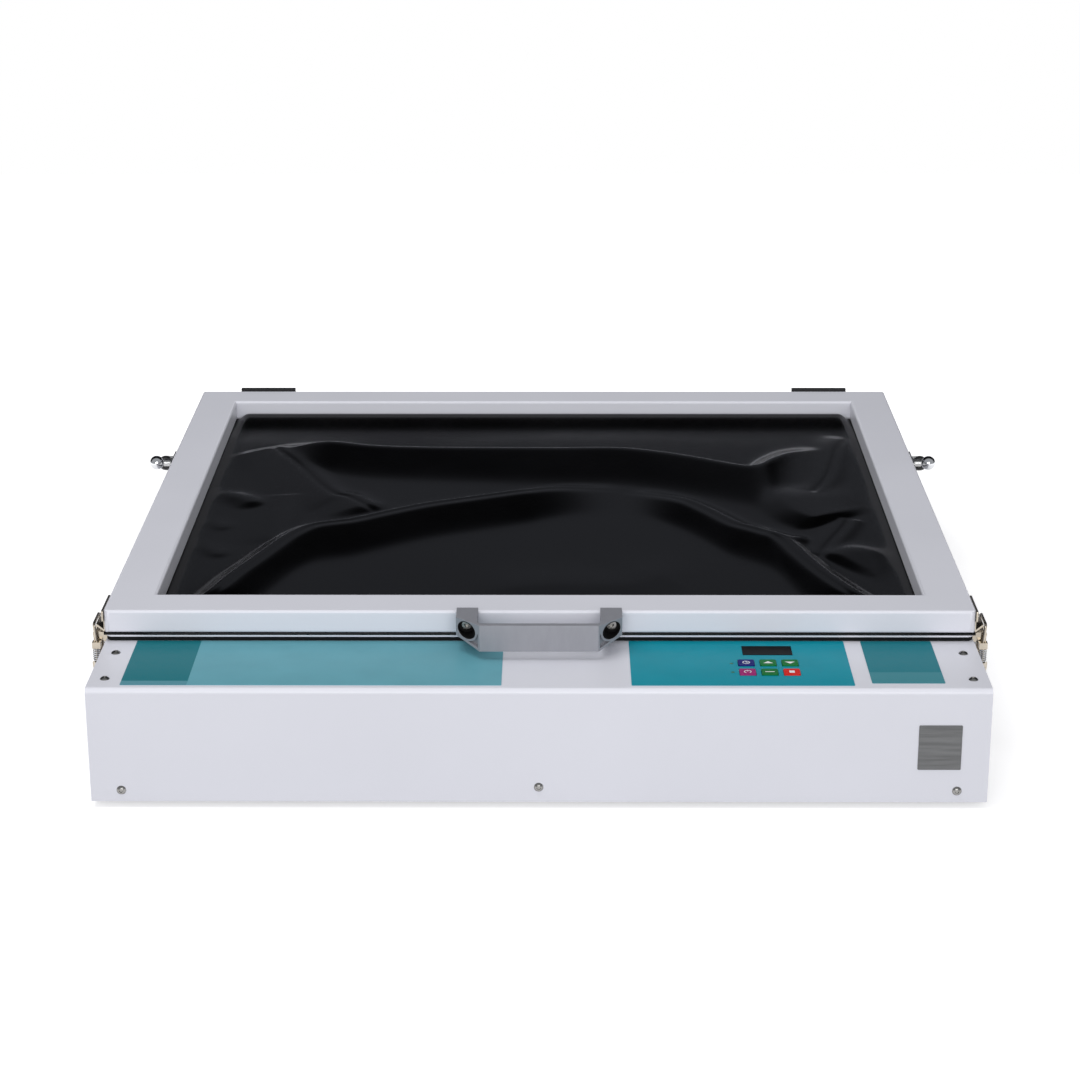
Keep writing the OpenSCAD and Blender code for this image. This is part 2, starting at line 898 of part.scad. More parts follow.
module light_box() {
  x = -box_w / 2;
  color("white") {
    difference() {
      translate([x, box_y, box_floor_z])
        cube([box_w, box_d, ledge_z - box_floor_z]);
      translate([x + box_sheet, box_y + box_sheet, box_floor_z + box_sheet])
        cube([box_w - 2 * box_sheet, box_d - 2 * box_sheet, ledge_z]);
    }
    flat_ring(box_w + 2 * box_rim, box_d + 2 * box_rim, box_rim + box_sheet, box_y - box_rim,
      ledge_z - box_sheet, box_sheet);
  }
}

module led_boards() {
  pitch = box_d / strip_count;
  lamp_pitch = (box_w - 40) / lamp_count;
  z = box_floor_z + box_sheet;
  color("palegreen")
    for (i = [0:strip_count - 1])
      translate([0, box_y + pitch * (i + 0.5), z]) {
        translate([-(box_w - 30) / 2, -strip_w / 2, 0])
          cube([box_w - 30, strip_w, board_t]);
        for (j = [0:lamp_count - 1])
          translate([-(box_w - 40) / 2 + lamp_pitch * (j + 0.5) - 3, -3, board_t])
            cube([6, 6, 2]);
      }
}

loom_d = 6;
loom_r = 15;

module wiring_loom() {
  z = pan_z + 24;
  y = supply_y + supply_d / 2;
  x_side = half_w - 18;
  x_in = inlet_x + 14;
  y_in = y_back - sheet - inlet_depth - 9;
  start_x = supply_x + supply_w;
  color("dimgray") {
    run([start_x, y, z], [x_side - loom_r, y, z], loom_d);
    translate([x_side - loom_r, y + loom_r, z])
      rotate([0, 0, -90])
        tube_bend(loom_r, loom_d, 0);
    run([x_side, y + loom_r, z], [x_side, y_in - loom_r - 6, z], loom_d);
    translate([x_side - loom_r, y_in - loom_r - 6, z])
      tube_bend(loom_r, loom_d, 0);
    run([x_side - loom_r, y_in - 6, z], [x_in, y_in - 6, z], loom_d);
    translate([x_in, y_in - 6 + loom_r, z])
      rotate([0, 0, 180])
        tube_bend(loom_r, loom_d, 0);
    run([start_x - 30, supply_y + supply_d, z], [start_x - 30, box_y, z], loom_d);
    run([start_x + 20, y - 20, z], [start_x + 20, y - 20, board_z], loom_d);
    run([start_x, y - 20, z], [start_x + 20, y - 20, z], loom_d);
  }
}

fan_y = y_back - sheet - fan_t;
fan_hub_d = 24;
fan_tip_play = 1;

module fan_frame() {
  color("black")
    translate([fan_x, fan_y, fan_z])
      rotate([-90, 0, 0]) {
        difference() {
          translate([-fan_size / 2, -fan_size / 2, 0])
            linear_extrude(fan_t)
              round_plate(fan_size, fan_size, 4);
          translate([0, 0, -past])
            cylinder(d = fan_bore, h = fan_t + 2 * past);
          for (x = [-1, 1], y = [-1, 1])
            translate([x * (fan_size / 2 - 5), y * (fan_size / 2 - 5), -past])
              cylinder(d = 4 + 2 * screw_play, h = fan_t + 2 * past);
        }
        cylinder(d = fan_hub_d, h = 3);
        for (a = [30, 150, 270])
          rotate([0, 0, a])
            translate([fan_hub_d / 2 - 1, -2, 0])
              cube([fan_bore / 2 - fan_hub_d / 2 + 1.5, 4, 3]);
        cylinder(d = 4, h = fan_t - 6);
      }
}

module fan_rotor() {
  blade_tilt = 35;
  blade_w = 18;
  blade_l = fan_bore / 2 - 3;
  color("dimgray")
    translate([fan_x, fan_y, fan_z])
      rotate([-90, 0, 0])
        difference() {
          union() {
            translate([0, 0, 4])
              cylinder(d = fan_hub_d, h = fan_t - 8);
            for (i = [0:fan_blades - 1])
              rotate([0, 0, i * 360 / fan_blades])
                translate([0, 0, fan_t / 2])
                  rotate([blade_tilt, 0, 0])
                    translate([fan_hub_d / 2 - 2, -0.6, -blade_w / 2])
                      cube([blade_l - fan_hub_d / 2 + 2, 1.2, blade_w]);
          }
          translate([0, 0, 4 - past])
            cylinder(d = 4 + 2 * pin_play, h = fan_t - 10 + past);
        }
}

module fan_guard() {
  wire = 2;
  color("silver")
    translate([fan_x, y_back + wire / 2, fan_z])
      rotate([-90, 0, 0]) {
        for (r = [8:7:fan_bore / 2])
          rotate_extrude()
            translate([r, 0])
              circle(d = wire, $fn = 16);
        for (x = [-1, 1], y = [-1, 1]) {
          corner = fan_size / 2 - 5;
          translate([x * corner, y * corner, 0])
            difference() {
              translate([0, 0, -wire / 2])
                cylinder(d = 8, h = wire);
              translate([0, 0, -wire])
                cylinder(d = 4 + 2 * screw_play, h = 2 * wire);
            }
          rotate([0, 0, atan2(y, x)])
            translate([7, -wire / 2, -wire / 2])
              cube([corner * sqrt(2) - 10, wire, wire]);
        }
      }
}

inlet_t = 3;
inlet_depth = 30;
socket_w = 24;
socket_h = 17;
socket_z = fan_z - 11;
rocker_z = fan_z + 16;
rocker_w = 25;
rocker_h = 11;
rocker_room = 0.4;
rocker_pin_d = 3;
rocker_pivot_in = 3;

module power_inlet() {
  y_in = y_back - sheet - inlet_depth;
  color("black") {
    difference() {
      union() {
        translate([inlet_x - inlet_w / 2, y_back, fan_z - inlet_h / 2])
          rotate([90, 0, 0])
            mirror([0, 0, 1])
              linear_extrude(inlet_t)
                round_plate(inlet_w, inlet_h, 3);
        translate([inlet_x - inlet_body_w / 2 + 0.2, y_in, fan_z - inlet_body_h / 2 + 0.2])
          cube([inlet_body_w - 0.4, inlet_depth + sheet, inlet_body_h - 0.4]);
      }
      translate([inlet_x - socket_w / 2, y_back + inlet_t - 20, socket_z - socket_h / 2])
        cube([socket_w, 20 + past, socket_h]);
      translate([inlet_x - rocker_w / 2 - rocker_room, y_back + inlet_t - 12,
        rocker_z - rocker_h / 2 - rocker_room])
        cube([rocker_w + 2 * rocker_room, 12 + past, rocker_h + 2 * rocker_room]);
      translate([inlet_x, y_back + inlet_t - rocker_pivot_in, rocker_z - rocker_h / 2 - 3])
        cylinder(d = rocker_pin_d + 2 * pin_play, h = rocker_h + 6);
    }
    for (pin = [[-7, -3], [0, 3], [7, -3]])
      translate([inlet_x + pin[0] - 1, y_back + inlet_t - 20.5, socket_z + pin[1] - 2])
        cube([2, 17, 4]);
  }
}

module power_rocker() {
  color("red")
    translate([inlet_x, y_back + inlet_t - rocker_pivot_in, rocker_z])
      rotate([0, 0, -rocker_swing / 2])
        union() {
          translate([0, 0, -rocker_h / 2])
            linear_extrude(rocker_h)
              difference() {
                polygon([[-rocker_w / 2 + 0.6, -2.5], [rocker_w / 2 - 0.6, -2.5],
                  [rocker_w / 2 - 0.6, 4.5], [0, 2.6], [-rocker_w / 2 + 0.6, 4.5]]);
              }
          translate([0, 0, -rocker_h / 2 - 2.5])
            cylinder(d = rocker_pin_d, h = rocker_h + 5);
        }
}

// Hinges

// Leaf plate with countersunk holes, from the barrel outwards along +Z
module leaf_plate() {
  difference() {
    translate([-hinge_l / 2, y_back, barrel_d / 2 + leaf_gap])
      cube([hinge_l, leaf_t, leaf_h - barrel_d / 2 - leaf_gap]);
    for (dx = [-1, 1])
      translate([dx * hinge_screw_dx, y_back + leaf_t, hinge_screw_dz])
        rotate([-90, 0, 0])
          sunk_hole(6, leaf_t + past);
  }
}

// Barrel part of a leaf between two places along the pin
module knuckle(x0, x1) {
  difference() {
    union() {
      translate([x0, hinge_y, 0])
        rotate([0, 90, 0])
          cylinder(d = barrel_d, h = x1 - x0);
      translate([x0, y_back, 0])
        cube([x1 - x0, leaf_t, barrel_d / 2 + leaf_gap + 1]);
    }
    translate([x0 - past, hinge_y, 0])
      rotate([0, 90, 0])
        cylinder(d = hinge_pin_d + 2 * pin_play, h = x1 - x0 + 2 * past);
  }
}

module hinge_base_leaves() {
  color("black")
    for (side = [-1, 1])
      translate([side * hinge_x, 0, hinge_z])
        mirror([0, 0, 1]) {
          leaf_plate();
          knuckle(-knuckle_l / 2, knuckle_l / 2);
        }
}

module hinge_lid_leaves() {
  color("black")
    for (side = [-1, 1])
      translate([side * hinge_x, 0, hinge_z]) {
        leaf_plate();
        knuckle(-hinge_l / 2, -knuckle_l / 2 - knuckle_gap);
        knuckle(knuckle_l / 2 + knuckle_gap, hinge_l / 2);
      }
}

module hinge_pins() {
  color("silver")
    for (side = [-1, 1])
      translate([side * hinge_x - hinge_l / 2, hinge_y, hinge_z])
        rotate([0, 90, 0])
          cylinder(d = hinge_pin_d, h = hinge_l);
}

// Lid

// Cross-section of the lid tube
module tube_outline() {
  round_plate(tube_w, tube_h, tube_r);
}

// Opening between two tubes seen from the side, a distance w apart
module opening_side(w) {
  difference() {
    translate([-w / 2 - tube_r, -past])
      square([w + 2 * tube_r, tube_h + 2 * past]);
    for (s = [0, 1])
      mirror([s, 0])
        translate([w / 2, 0])
          tube_outline();
  }
}

// Extrudes an outline drawn in X and Z along Y, or the same along X
module both_ways(l, along_x) {
  rotate([90, 0, along_x ? 90 : 0])
    translate([0, 0, -l / 2])
      linear_extrude(l)
        children();
}

module lid_frame() {
  color("whitesmoke")
    difference() {
      translate([0, lid_y + lid_d / 2, lid_z])
        difference() {
          intersection() {
            both_ways(lid_d + 2 * past, false)
              translate([-lid_w / 2, 0])
                round_plate(lid_w, tube_h, tube_r);
            both_ways(lid_w + 2 * past, true)
              translate([-lid_d / 2, 0])
                round_plate(lid_d, tube_h, tube_r);
            translate([-lid_side, -lid_d / 2, -past])
              linear_extrude(tube_h + 2 * past)
                round_plate(lid_w, lid_d, lid_corner_r);
          }
          intersection() {
            both_ways(lid_d, false)
              opening_side(window_w);
            both_ways(lid_w, true)
              opening_side(window_d);
          }
          translate([0, -lid_d / 2 + tube_wall, tube_wall])
            flat_ring(lid_w - 2 * tube_wall, lid_d - 2 * tube_wall, tube_w - 2 * tube_wall, 0, 0,
              tube_h - 2 * tube_wall, lid_corner_r - tube_wall);
        }
      for (dx = [-1, 1])
        translate([dx * handle_pitch / 2, lid_y - past, handle_screw_z])
          rotate([-90, 0, 0])
            cylinder(d = 5 + 2 * screw_play, h = tube_wall + 2 * past);
      for (side = [-1, 1], dx = [-1, 1])
        translate([side * hinge_x + dx * hinge_screw_dx, y_back + past, hinge_z + hinge_screw_dz])
          rotate([90, 0, 0])
            cylinder(d = 6 + 2 * screw_play, h = tube_wall + 2 * past);
      for (s = [-1, 1])
        on_side(s) {
          for (spot = keeper_screw_spots())
            translate([lid_proud + past, spot[0], spot[1]])
              rotate([0, -90, 0])
                cylinder(d = 3 + 2 * screw_play, h = tube_wall + 2 * past);
          for (dy = [-1, 1])
            translate([lid_proud + past, strut_high_y + dy * 14, strut_high_z])
              rotate([0, -90, 0])
                cylinder(d = 4 + 2 * screw_play, h = tube_wall + 2 * past);
        }
    }
}

// Rubber blanket

grid_x = 24;
grid_y = 20;

// Crest lines of the main folds in millimetres from the middle and the front of the lid,
// each with its height as a share of fold_h and the half width of its swell
fold_lines = [
  [1.00, 34, [[-300, 545], [-146, 520], [54, 514], [131, 494], [212, 452]]],
  [0.55, 26, [[212, 452], [245, 500], [285, 540]]],
  [0.70, 30, [[-215, 262], [-134, 303], [-52, 345], [21, 379], [92, 384], [145, 330]]],
  [0.60, 28, [[145, 330], [188, 256], [252, 236]]],
  [0.45, 24, [[229, 385], [242, 335], [263, 281]]],
  [0.40, 22, [[312, 520], [295, 443], [273, 382]]],
  [0.35, 26, [[224, 196], [248, 117], [266, 70]]],
  [0.40, 28, [[-316, 378], [-268, 335]]],
  [0.45, 30, [[-290, 80], [-265, 155], [-234, 256]]],
  [0.35, 30, [[-60, 106], [49, 117], [85, 120], [146, 148]]]
];

// Distance from a point to the line between two points
function segment_gap(p, a, b) =
  let (ab = b - a, t = min(1, max(0, (p - a) * ab / (ab * ab))))
  norm(p - a - t * ab);

function line_gap(p, line) =
  min([for (i = [0:len(line) - 2]) segment_gap(p, line[i], line[i + 1])]);

// Share of the fold height that is left this close to the clamped edge
function edge_share(u, v) =
  let (room = min(window_w / 2 - abs(u), v - tube_w, lid_d - tube_w - v))
  room <= 0 ? 0 : 1 - exp(-room * room / 900);

function swell(u, v) =
  max([for (f = fold_lines) f[0] * exp(-pow(line_gap([u, v], f[2]) / f[1], 2))]);

function blanket_lift(u, v) = fold_h * edge_share(u, v) * min(1, swell(u, v));

// Grid lines: the outer edge, the edge of the window, and even steps between
function grid_line(i, steps, outer, inner) =
  i == 0 ? -outer : i == steps + 2 ? outer : -inner + 2 * inner * (i - 1) / steps;

module rubber_blanket() {
  half_l = lid_d / 2;
  nx = grid_x + 3;
  ny = grid_y + 3;
  top = [for (j = [0:ny - 1], i = [0:nx - 1])
    let (u = grid_line(i, grid_x, lid_side, window_w / 2),
      v = half_l + grid_line(j, grid_y, half_l, window_d / 2))
    [u, lid_y + v, blanket_z + blanket_t + blanket_lift(u, v)]];
  low = [for (p = top) [p[0], p[1], p[2] - blanket_t]];
  n = nx * ny;
  color([0.09, 0.09, 0.1])
    polyhedron(
      points = concat(top, low),
      faces = concat(
        [for (j = [0:ny - 2], i = [0:nx - 2])
          let (a = j * nx + i) each [[a, a + nx, a + 1], [a + 1, a + nx, a + nx + 1]]],
        [for (j = [0:ny - 2], i = [0:nx - 2])
          let (a = n + j * nx + i) each [[a, a + 1, a + nx], [a + 1, a + nx + 1, a + nx]]],
        [for (i = [0:nx - 2]) each [[i, i + 1, n + i + 1], [i, n + i + 1, n + i]]],
        [for (i = [0:nx - 2]) let (a = (ny - 1) * nx + i)
          each [[a, n + a, n + a + 1], [a, n + a + 1, a + 1]]],
        [for (j = [0:ny - 2]) let (a = j * nx)
          each [[a, n + a, n + a + nx], [a, n + a + nx, a + nx]]],
        [for (j = [0:ny - 2]) let (a = j * nx + nx - 1)
          each [[a, a + nx, n + a + nx], [a, n + a + nx, n + a]]]
      )
    );
}

clamp_screw_pitch = 110;

// Places of the clamp screws, evenly spaced along each side
function clamp_screw_spots() =
  let (inset = tube_w * 0.6, w = lid_w - 2 * inset, d = lid_d - 2 * inset,
    nx = round(w / clamp_screw_pitch), ny = round(d / clamp_screw_pitch))
  concat(
    [for (i = [0:nx], y = [inset, lid_d - inset]) [-w / 2 + w * i / nx, lid_y + y]],
    [for (j = [1:ny - 1], x = [-1, 1]) [x * w / 2, lid_y + inset + d * j / ny]]
  );

module clamp_frame() {
  color("white")
    difference() {
      flat_ring(lid_w - 2 * clamp_inset, lid_d - 2 * clamp_inset, clamp_w, lid_y + clamp_inset,
        clamp_z, clamp_t, lid_corner_r);
      for (spot = clamp_screw_spots())
        translate([spot[0], spot[1], clamp_z - past])
          cylinder(d = 4 + 2 * screw_play, h = clamp_t + 2 * past);
    }
}

module seal_gasket() {
  color("black")
    flat_ring(lid_w - 2 * seal_inset, lid_d - 2 * seal_inset, seal_w, lid_y + seal_inset,
      seal_z, seal_t, lid_corner_r);
}

// Handle

screw_drop = 8.4;
handle_screw_z = lid_top + handle_rise - screw_drop;
handle_slant = 20;
handle_seat_y = 13;
recess_d = 15;

// Half of the handle seen from above, its feet on the line y = 0, reaching towards -Y
module handle_outline() {
  half_l = handle_l / 2;
  bar_end = half_l - handle_slant;
  inner = half_l - handle_foot;
  corner = 4;
  for (s = [0, 1])
    mirror([s, 0])
      difference() {
        polygon([[0, -handle_reach], [bar_end, -handle_reach],
          [half_l, -handle_reach + handle_slant], [half_l, 0], [0, 0]]);
        translate([-past, -handle_reach + handle_bar])
          square([inner - corner + past, handle_reach]);
        translate([-past, -handle_reach + handle_bar + corner])
          square([inner + past, handle_reach]);
        translate([inner - corner, -handle_reach + handle_bar + corner])
          circle(r = corner);
      }
}

module lid_handle() {
  half_l = handle_l / 2;
  bar_end = half_l - handle_slant;
  screw_h = handle_h - screw_drop;
  taper_h = 7;
  color("gray")
    translate([0, lid_y, lid_top + handle_rise - handle_h])
      difference() {
        linear_extrude(handle_h)
          handle_outline();
        for (s = [-1, 1]) {
          translate([s * handle_pitch / 2, -handle_seat_y, screw_h])
            rotate([90, 0, 0])
              cylinder(d = recess_d, h = handle_reach);
          translate([s * handle_pitch / 2, past, screw_h])
            rotate([90, 0, 0])
              cylinder(d = 5 + 2 * screw_play, h = handle_reach);
        }
        for (s = [0, 1])
          mirror([s, 0, 0]) {
            translate([0, past, 0])
              rotate([90, 0, 0])
                linear_extrude(handle_reach + 2 * past)
                  polygon([[bar_end, 0], [half_l + past, taper_h * (1 + past / handle_slant)],
                    [half_l + past, -past], [bar_end, -past]]);
            handle_pocket(bar_end, screw_h, taper_h);
          }
      }
}

// Corner pocket in the slanted face of a handle foot, below the rim of the screw recess
module handle_pocket(bar_end, screw_h, taper_h) {
  depth = 3;
  rim = 2;
  face_l = handle_slant * sqrt(2);
  difference() {
    translate([bar_end, -handle_reach, 0])
      rotate([90, 0, 45])
        translate([0, 0, -depth])
          linear_extrude(depth + past)
            polygon([[rim, rim + taper_h * rim / face_l], [face_l - rim, taper_h + rim - 0.5],
              [face_l - rim, screw_h], [rim, screw_h]]);
    translate([handle_pitch / 2, past, screw_h])
      rotate([90, 0, 0])
        cylinder(d = recess_d + 3, h = handle_reach + 3 * past);
  }
}

// Socket head screw along -Y, its head standing on the plane y = 0
module cap_screw(d, length) {
  rotate([90, 0, 0])
    difference() {
      union() {
        cylinder(d = 1.7 * d, h = d);
        translate([0, 0, -length])
          cylinder(d = d, h = length);
      }
      translate([0, 0, d / 2])
        cylinder(d = 0.9 * d, h = d, $fn = 6);
    }
}

module handle_screws() {
  color("silver")
    for (s = [-1, 1])
      translate([s * handle_pitch / 2, lid_y - handle_seat_y, handle_screw_z])
        cap_screw(5, handle_seat_y + 8);
}

module lid_screws() {
  color("silver") {
    for (side = [-1, 1], dx = [-1, 1])
      translate([side * hinge_x + dx * hinge_screw_dx, y_back + leaf_t, hinge_z + hinge_screw_dz])
        rotate([-90, 0, 0])
          sunk_screw(6, leaf_t + 8);
    for (spot = clamp_screw_spots())
      translate([spot[0], spot[1], clamp_z])
        rotate([180, 0, 0])
          dome_screw(4, 7, 1.8, clamp_t + blanket_t + tube_wall + 3);
    for (s = [-1, 1])
      on_side(s) {
        for (spot = keeper_screw_spots())
          translate([lid_proud + keeper_t, spot[0], spot[1]])
            rotate([0, 90, 0])
              dome_screw(3, 5.6, 1.8, 6);
        for (dy = [-1, 1])
          translate([lid_proud + 2, strut_high_y + dy * 14, strut_high_z])
            rotate([0, 90, 0])
              dome_screw(4, 7, 2, 8);
      }
  }
}

// Gas springs

module strut_base_studs() {
  flange = strut_eye_w / 2 + stud_gap;
  color("silver")
    for (s = [-1, 1])
      on_side(s)
        translate([0, strut_low_y, strut_low_z])
          rotate([0, 90, 0]) {
            difference() {
              translate([-18, -9, 0])
                linear_extrude(2)
                  round_plate(36, 18, 3);
              for (dz = [-1, 1])
                translate([dz * 13, 0, -past])
                  cylinder(d = 4 + 2 * screw_play, h = 2 + 2 * past);
            }
            cylinder(d = 13, h = strut_out - flange);
            cylinder(d = strut_pin_d, h = strut_out + flange + 2);
            translate([0, 0, strut_out + flange])
              cylinder(d = 12, h = 1.5);
          }
}

module strut_lid_studs() {
  color("silver")
    for (s = [-1, 1])
      on_side(s)
        translate([lid_proud, strut_high_y, strut_high_z])
          rotate([0, 90, 0]) {
            difference() {
              translate([-6.5, -20, 0])
                linear_extrude(2)
                  round_plate(13, 40, 3);
              for (dy = [-1, 1])
                translate([0, dy * 14, -past])
                  cylinder(d = 4 + 2 * screw_play, h = 2 + 2 * past);
            }
            cylinder(d = 10, h = 5, $fn = 6);
            cylinder(d = 7, h = strut_out - lid_proud - ball_d / 2 - stud_gap);
          }
}

// Frame along a gas spring: its lower joint at the origin, the spring along +X, outside along +Z
module strut_place(s) {
  on_side(s)
    translate([strut_out, strut_low_y, strut_low_z])
      rotate([0, 90, 0])
        rotate([0, 0, -90 - strut_angle])
          children();
}

module strut_cylinder(s) {
  shank_end = strut_eye_d / 2 + 6;
  color("dimgray")
    strut_place(s)
      difference() {
        union() {
          translate([0, 0, -strut_eye_w / 2])
            cylinder(d = strut_eye_d, h = strut_eye_w);
          rotate([0, 90, 0])
            cylinder(d = 10, h = shank_end);
          translate([shank_end, 0, 0])
            rotate([0, 90, 0])
              cylinder(d = cylinder_d, h = cylinder_l - 4);
          translate([shank_end + cylinder_l - 4, 0, 0])
            rotate([0, 90, 0])
              cylinder(d1 = cylinder_d, d2 = cylinder_d - 3, h = 4);
        }
        cylinder(d = strut_pin_d + 2 * pin_play, h = strut_eye_w + 2, center = true);
        translate([shank_end + 8, 0, 0])
          rotate([0, 90, 0])
            cylinder(d = rod_d + 2 * pin_play, h = cylinder_l);
      }
}

module strut_rod(s) {
  shank_end = strut_eye_d / 2 + 6;
  rod_start = shank_end + 20;
  neck = ball_d / 2 + 8;
  color("silver")
    strut_place(s) {
      translate([strut_len, 0, 0])
        sphere(d = ball_d);
      translate([strut_len - neck, 0, 0])
        rotate([0, 90, 0])
          cylinder(d = rod_d + 4, h = 8);
      translate([rod_start, 0, 0])
        rotate([0, 90, 0])
          cylinder(d = rod_d, h = strut_len - rod_start);
    }
}

module strut_cylinder_left() {
  strut_cylinder(-1);
}

module strut_cylinder_right() {
  strut_cylinder(1);
}

module strut_rod_left() {
  strut_rod(-1);
}

module strut_rod_right() {
  strut_rod(1);
}

// Latches

latch_plate_low = -56;
latch_plate_top = -3;

function latch_screw_spots() =
  [for (dy = [-11, 11], dz = [-32, -50]) [latch_mid_y + dy, deck_z + dz]];

function keeper_screw_spots() =
  [for (dy = [-15, 15]) [latch_mid_y + dy, lid_top - 6]];

// Ear of the base plate seen along Y, around the lever pivot
module ear_outline() {
  reach = lever_pivot_out;
  translate([reach, lever_pivot_z])
    circle(r = ear_r);
  polygon([[0, -6], [reach, lever_pivot_z - ear_r], [reach, lever_pivot_z + ear_r], [0, 3]]);
}

module latch_base_plates() {
  color("tan")
    for (s = [-1, 1])
      on_side(s)
        translate([0, latch_mid_y, deck_z]) {
          difference() {
            translate([0, -15, latch_plate_low])
              rotate([90, 0, 90])
                linear_extrude(lever_plate)
                  round_plate(30, latch_plate_top - latch_plate_low, 2);
            for (spot = latch_screw_spots())
              translate([-past, spot[0] - latch_mid_y, spot[1] - deck_z])
                rotate([0, 90, 0])
                  cylinder(d = 3 + 2 * screw_play, h = lever_plate + 2 * past);
          }
          for (y = [-ear_out_y, ear_in_y])
            translate([0, y, 0])
              latch_slab(lever_plate)
                ear_outline();
          translate([lever_pivot_out, -ear_out_y - 0.2, lever_pivot_z])
            rotate([-90, 0, 0])
              cylinder(d = lever_pin_d, h = 2 * ear_out_y + 0.4);
        }
}

// Extrudes an outline drawn across a latch (out from the side, up) along Y
module latch_slab(t) {
  translate([0, t, 0])
    rotate([90, 0, 0])
      linear_extrude(t)
        children();
}

lever_web_out = lever_pivot_out + 1;
lever_web_low = -20;

// Cheek of the lever seen along Y
module cheek_outline() {
  pivot_r = ear_r + 0.1;
  block_r = trunnion_d / 2 + 1.3;
  difference() {
    union() {
      translate([lever_pivot_out, lever_pivot_z])
        circle(r = pivot_r);
      translate([bail_out, bail_z])
        circle(r = block_r);
      polygon([[bail_out - block_r, bail_z], [lever_pivot_out - pivot_r, lever_pivot_z],
        [lever_pivot_out + pivot_r, lever_pivot_z], [bail_out + block_r, bail_z],
        [lever_web_out, bail_z - 4], [lever_web_out, lever_web_low],
        [lever_web_out - 4, lever_web_low + 1], [bail_out - 2, bail_z - 6]]);
    }
    translate([lever_pivot_out, lever_pivot_z])
      circle(d = lever_pin_d + 2 * pin_play);
    translate([bail_out, bail_z])
      circle(d = trunnion_d + 2 * pin_play);
  }
}

module latch_lever(s) {
  x0 = lever_web_out - lever_plate;
  x1 = lever_web_out;
  bump = 3.6;
  color("tan")
    on_side(s)
      translate([0, latch_mid_y, deck_z]) {
        for (y = [-cheek_out_y, cheek_in_y])
          translate([0, y, 0])
            latch_slab(lever_plate)
              cheek_outline();
        translate([0, -cheek_out_y, 0])
          latch_slab(2 * cheek_out_y)
            polygon([[x0, bail_z - 4], [x1, bail_z - 4], [x1, lever_web_low],
              [x1 + bump, lever_web_low - 4.5], [x1 + bump - 1, -lever_l], [x0 + bump - 1, -lever_l],
              [x0 + bump - 0.4, lever_web_low - 4], [x0, lever_web_low - 0.6]]);
      }
}

// Bail: a wire loop that leans out, with a block, a spring and a nut on each leg
module latch_bail(s) {
  leg = bail_w / 2;
  foot_z = bail_z - block_h / 2 - spring_l - nut_h;
  bend = 3;
  lean = asin(bail_lean / bail_rise);
  color("tan")
    on_side(s)
      translate([bail_out, latch_mid_y, deck_z]) {
        for (y = [-leg, leg]) {
          translate([0, y, foot_z - 1])
            cylinder(d = bail_wire, h = bail_z - foot_z + 1);
          translate([0, y, foot_z])
            cylinder(d = 6.4, h = nut_h, $fn = 6);
          translate([-block_w / 2, y - 3, bail_z - block_h / 2])
            cube([block_w, 6, block_h]);
        }
        translate([0, -trunnion_l / 2, bail_z])
          rotate([-90, 0, 0])
            cylinder(d = trunnion_d, h = trunnion_l);
        translate([0, 0, bail_z])
          rotate([0, lean, 0]) {
            for (side = [0, 1])
              mirror([0, side, 0]) {
                translate([0, leg, 0])
                  cylinder(d = bail_wire, h = bail_rise - bend);
                translate([0, leg - bend, bail_rise - bend])
                  rotate([90, 0, 90])
                    tube_bend(bend, bail_wire, 0);
              }
            translate([0, -leg + bend, bail_rise])
              rotate([-90, 0, 0])
                cylinder(d = bail_wire, h = bail_w - 2 * bend);
          }
      }
}

// Points of a round wire cross-section along a helix, one ring after another
function helix_rings(r, wire, length, turns, steps, sides) =
  let (rise = (length - wire) / (turns * steps))
  [for (i = [0:turns * steps], k = [0:sides - 1])
    let (a = i * 360 / steps, b = k * 360 / sides, q = r + wire / 2 * cos(b))
    [q * cos(a), q * sin(a), wire / 2 + i * rise + wire / 2 * sin(b)]];

module latch_springs(s) {
  steps = 8;
  sides = 6;
  mean_r = (spring_d - spring_wire) / 2;
  rings = spring_turns * steps;
  clear = 0.05;
  points = helix_rings(mean_r, spring_wire, spring_l - 2 * clear, spring_turns, steps, sides);
  echo(spring_gap = (spring_l - 2 * clear - spring_wire) / spring_turns - spring_wire);
  color("silver")
    on_side(s)
      for (y = [-bail_w / 2, bail_w / 2])
        translate([bail_out, latch_mid_y + y, deck_z + bail_z - block_h / 2 - spring_l + clear])
          polyhedron(
            points = points,
            faces = concat(
              [for (i = [0:rings - 1], k = [0:sides - 1])
                let (a = i * sides + k, b = i * sides + (k + 1) % sides)
                each [[a, b, b + sides], [a, b + sides, a + sides]]],
              [for (k = [1:sides - 2]) [0, k + 1, k]],
              [for (k = [1:sides - 2]) let (e = rings * sides) [e, e + k, e + k + 1]]
            )
          );
}

// Hook of the keeper seen along Y: down beside the lid, then out and up to its lip
module hook_outline(top) {
  inner = lid_proud + keeper_t;
  slope = tan(hook_slope);
  lip_z = bar_z - 0.4;
  fold_z = lip_z - (hook_lip_out - inner) * slope;
  drop = keeper_t / cos(hook_slope);
  polygon([[lid_proud, top], [lid_proud, fold_z - drop + 0.6], [inner - 0.4, fold_z - drop - 0.4 * slope],
    [hook_lip_out, lip_z - drop], [hook_lip_out, lip_z], [inner, fold_z], [inner, top]]);
}

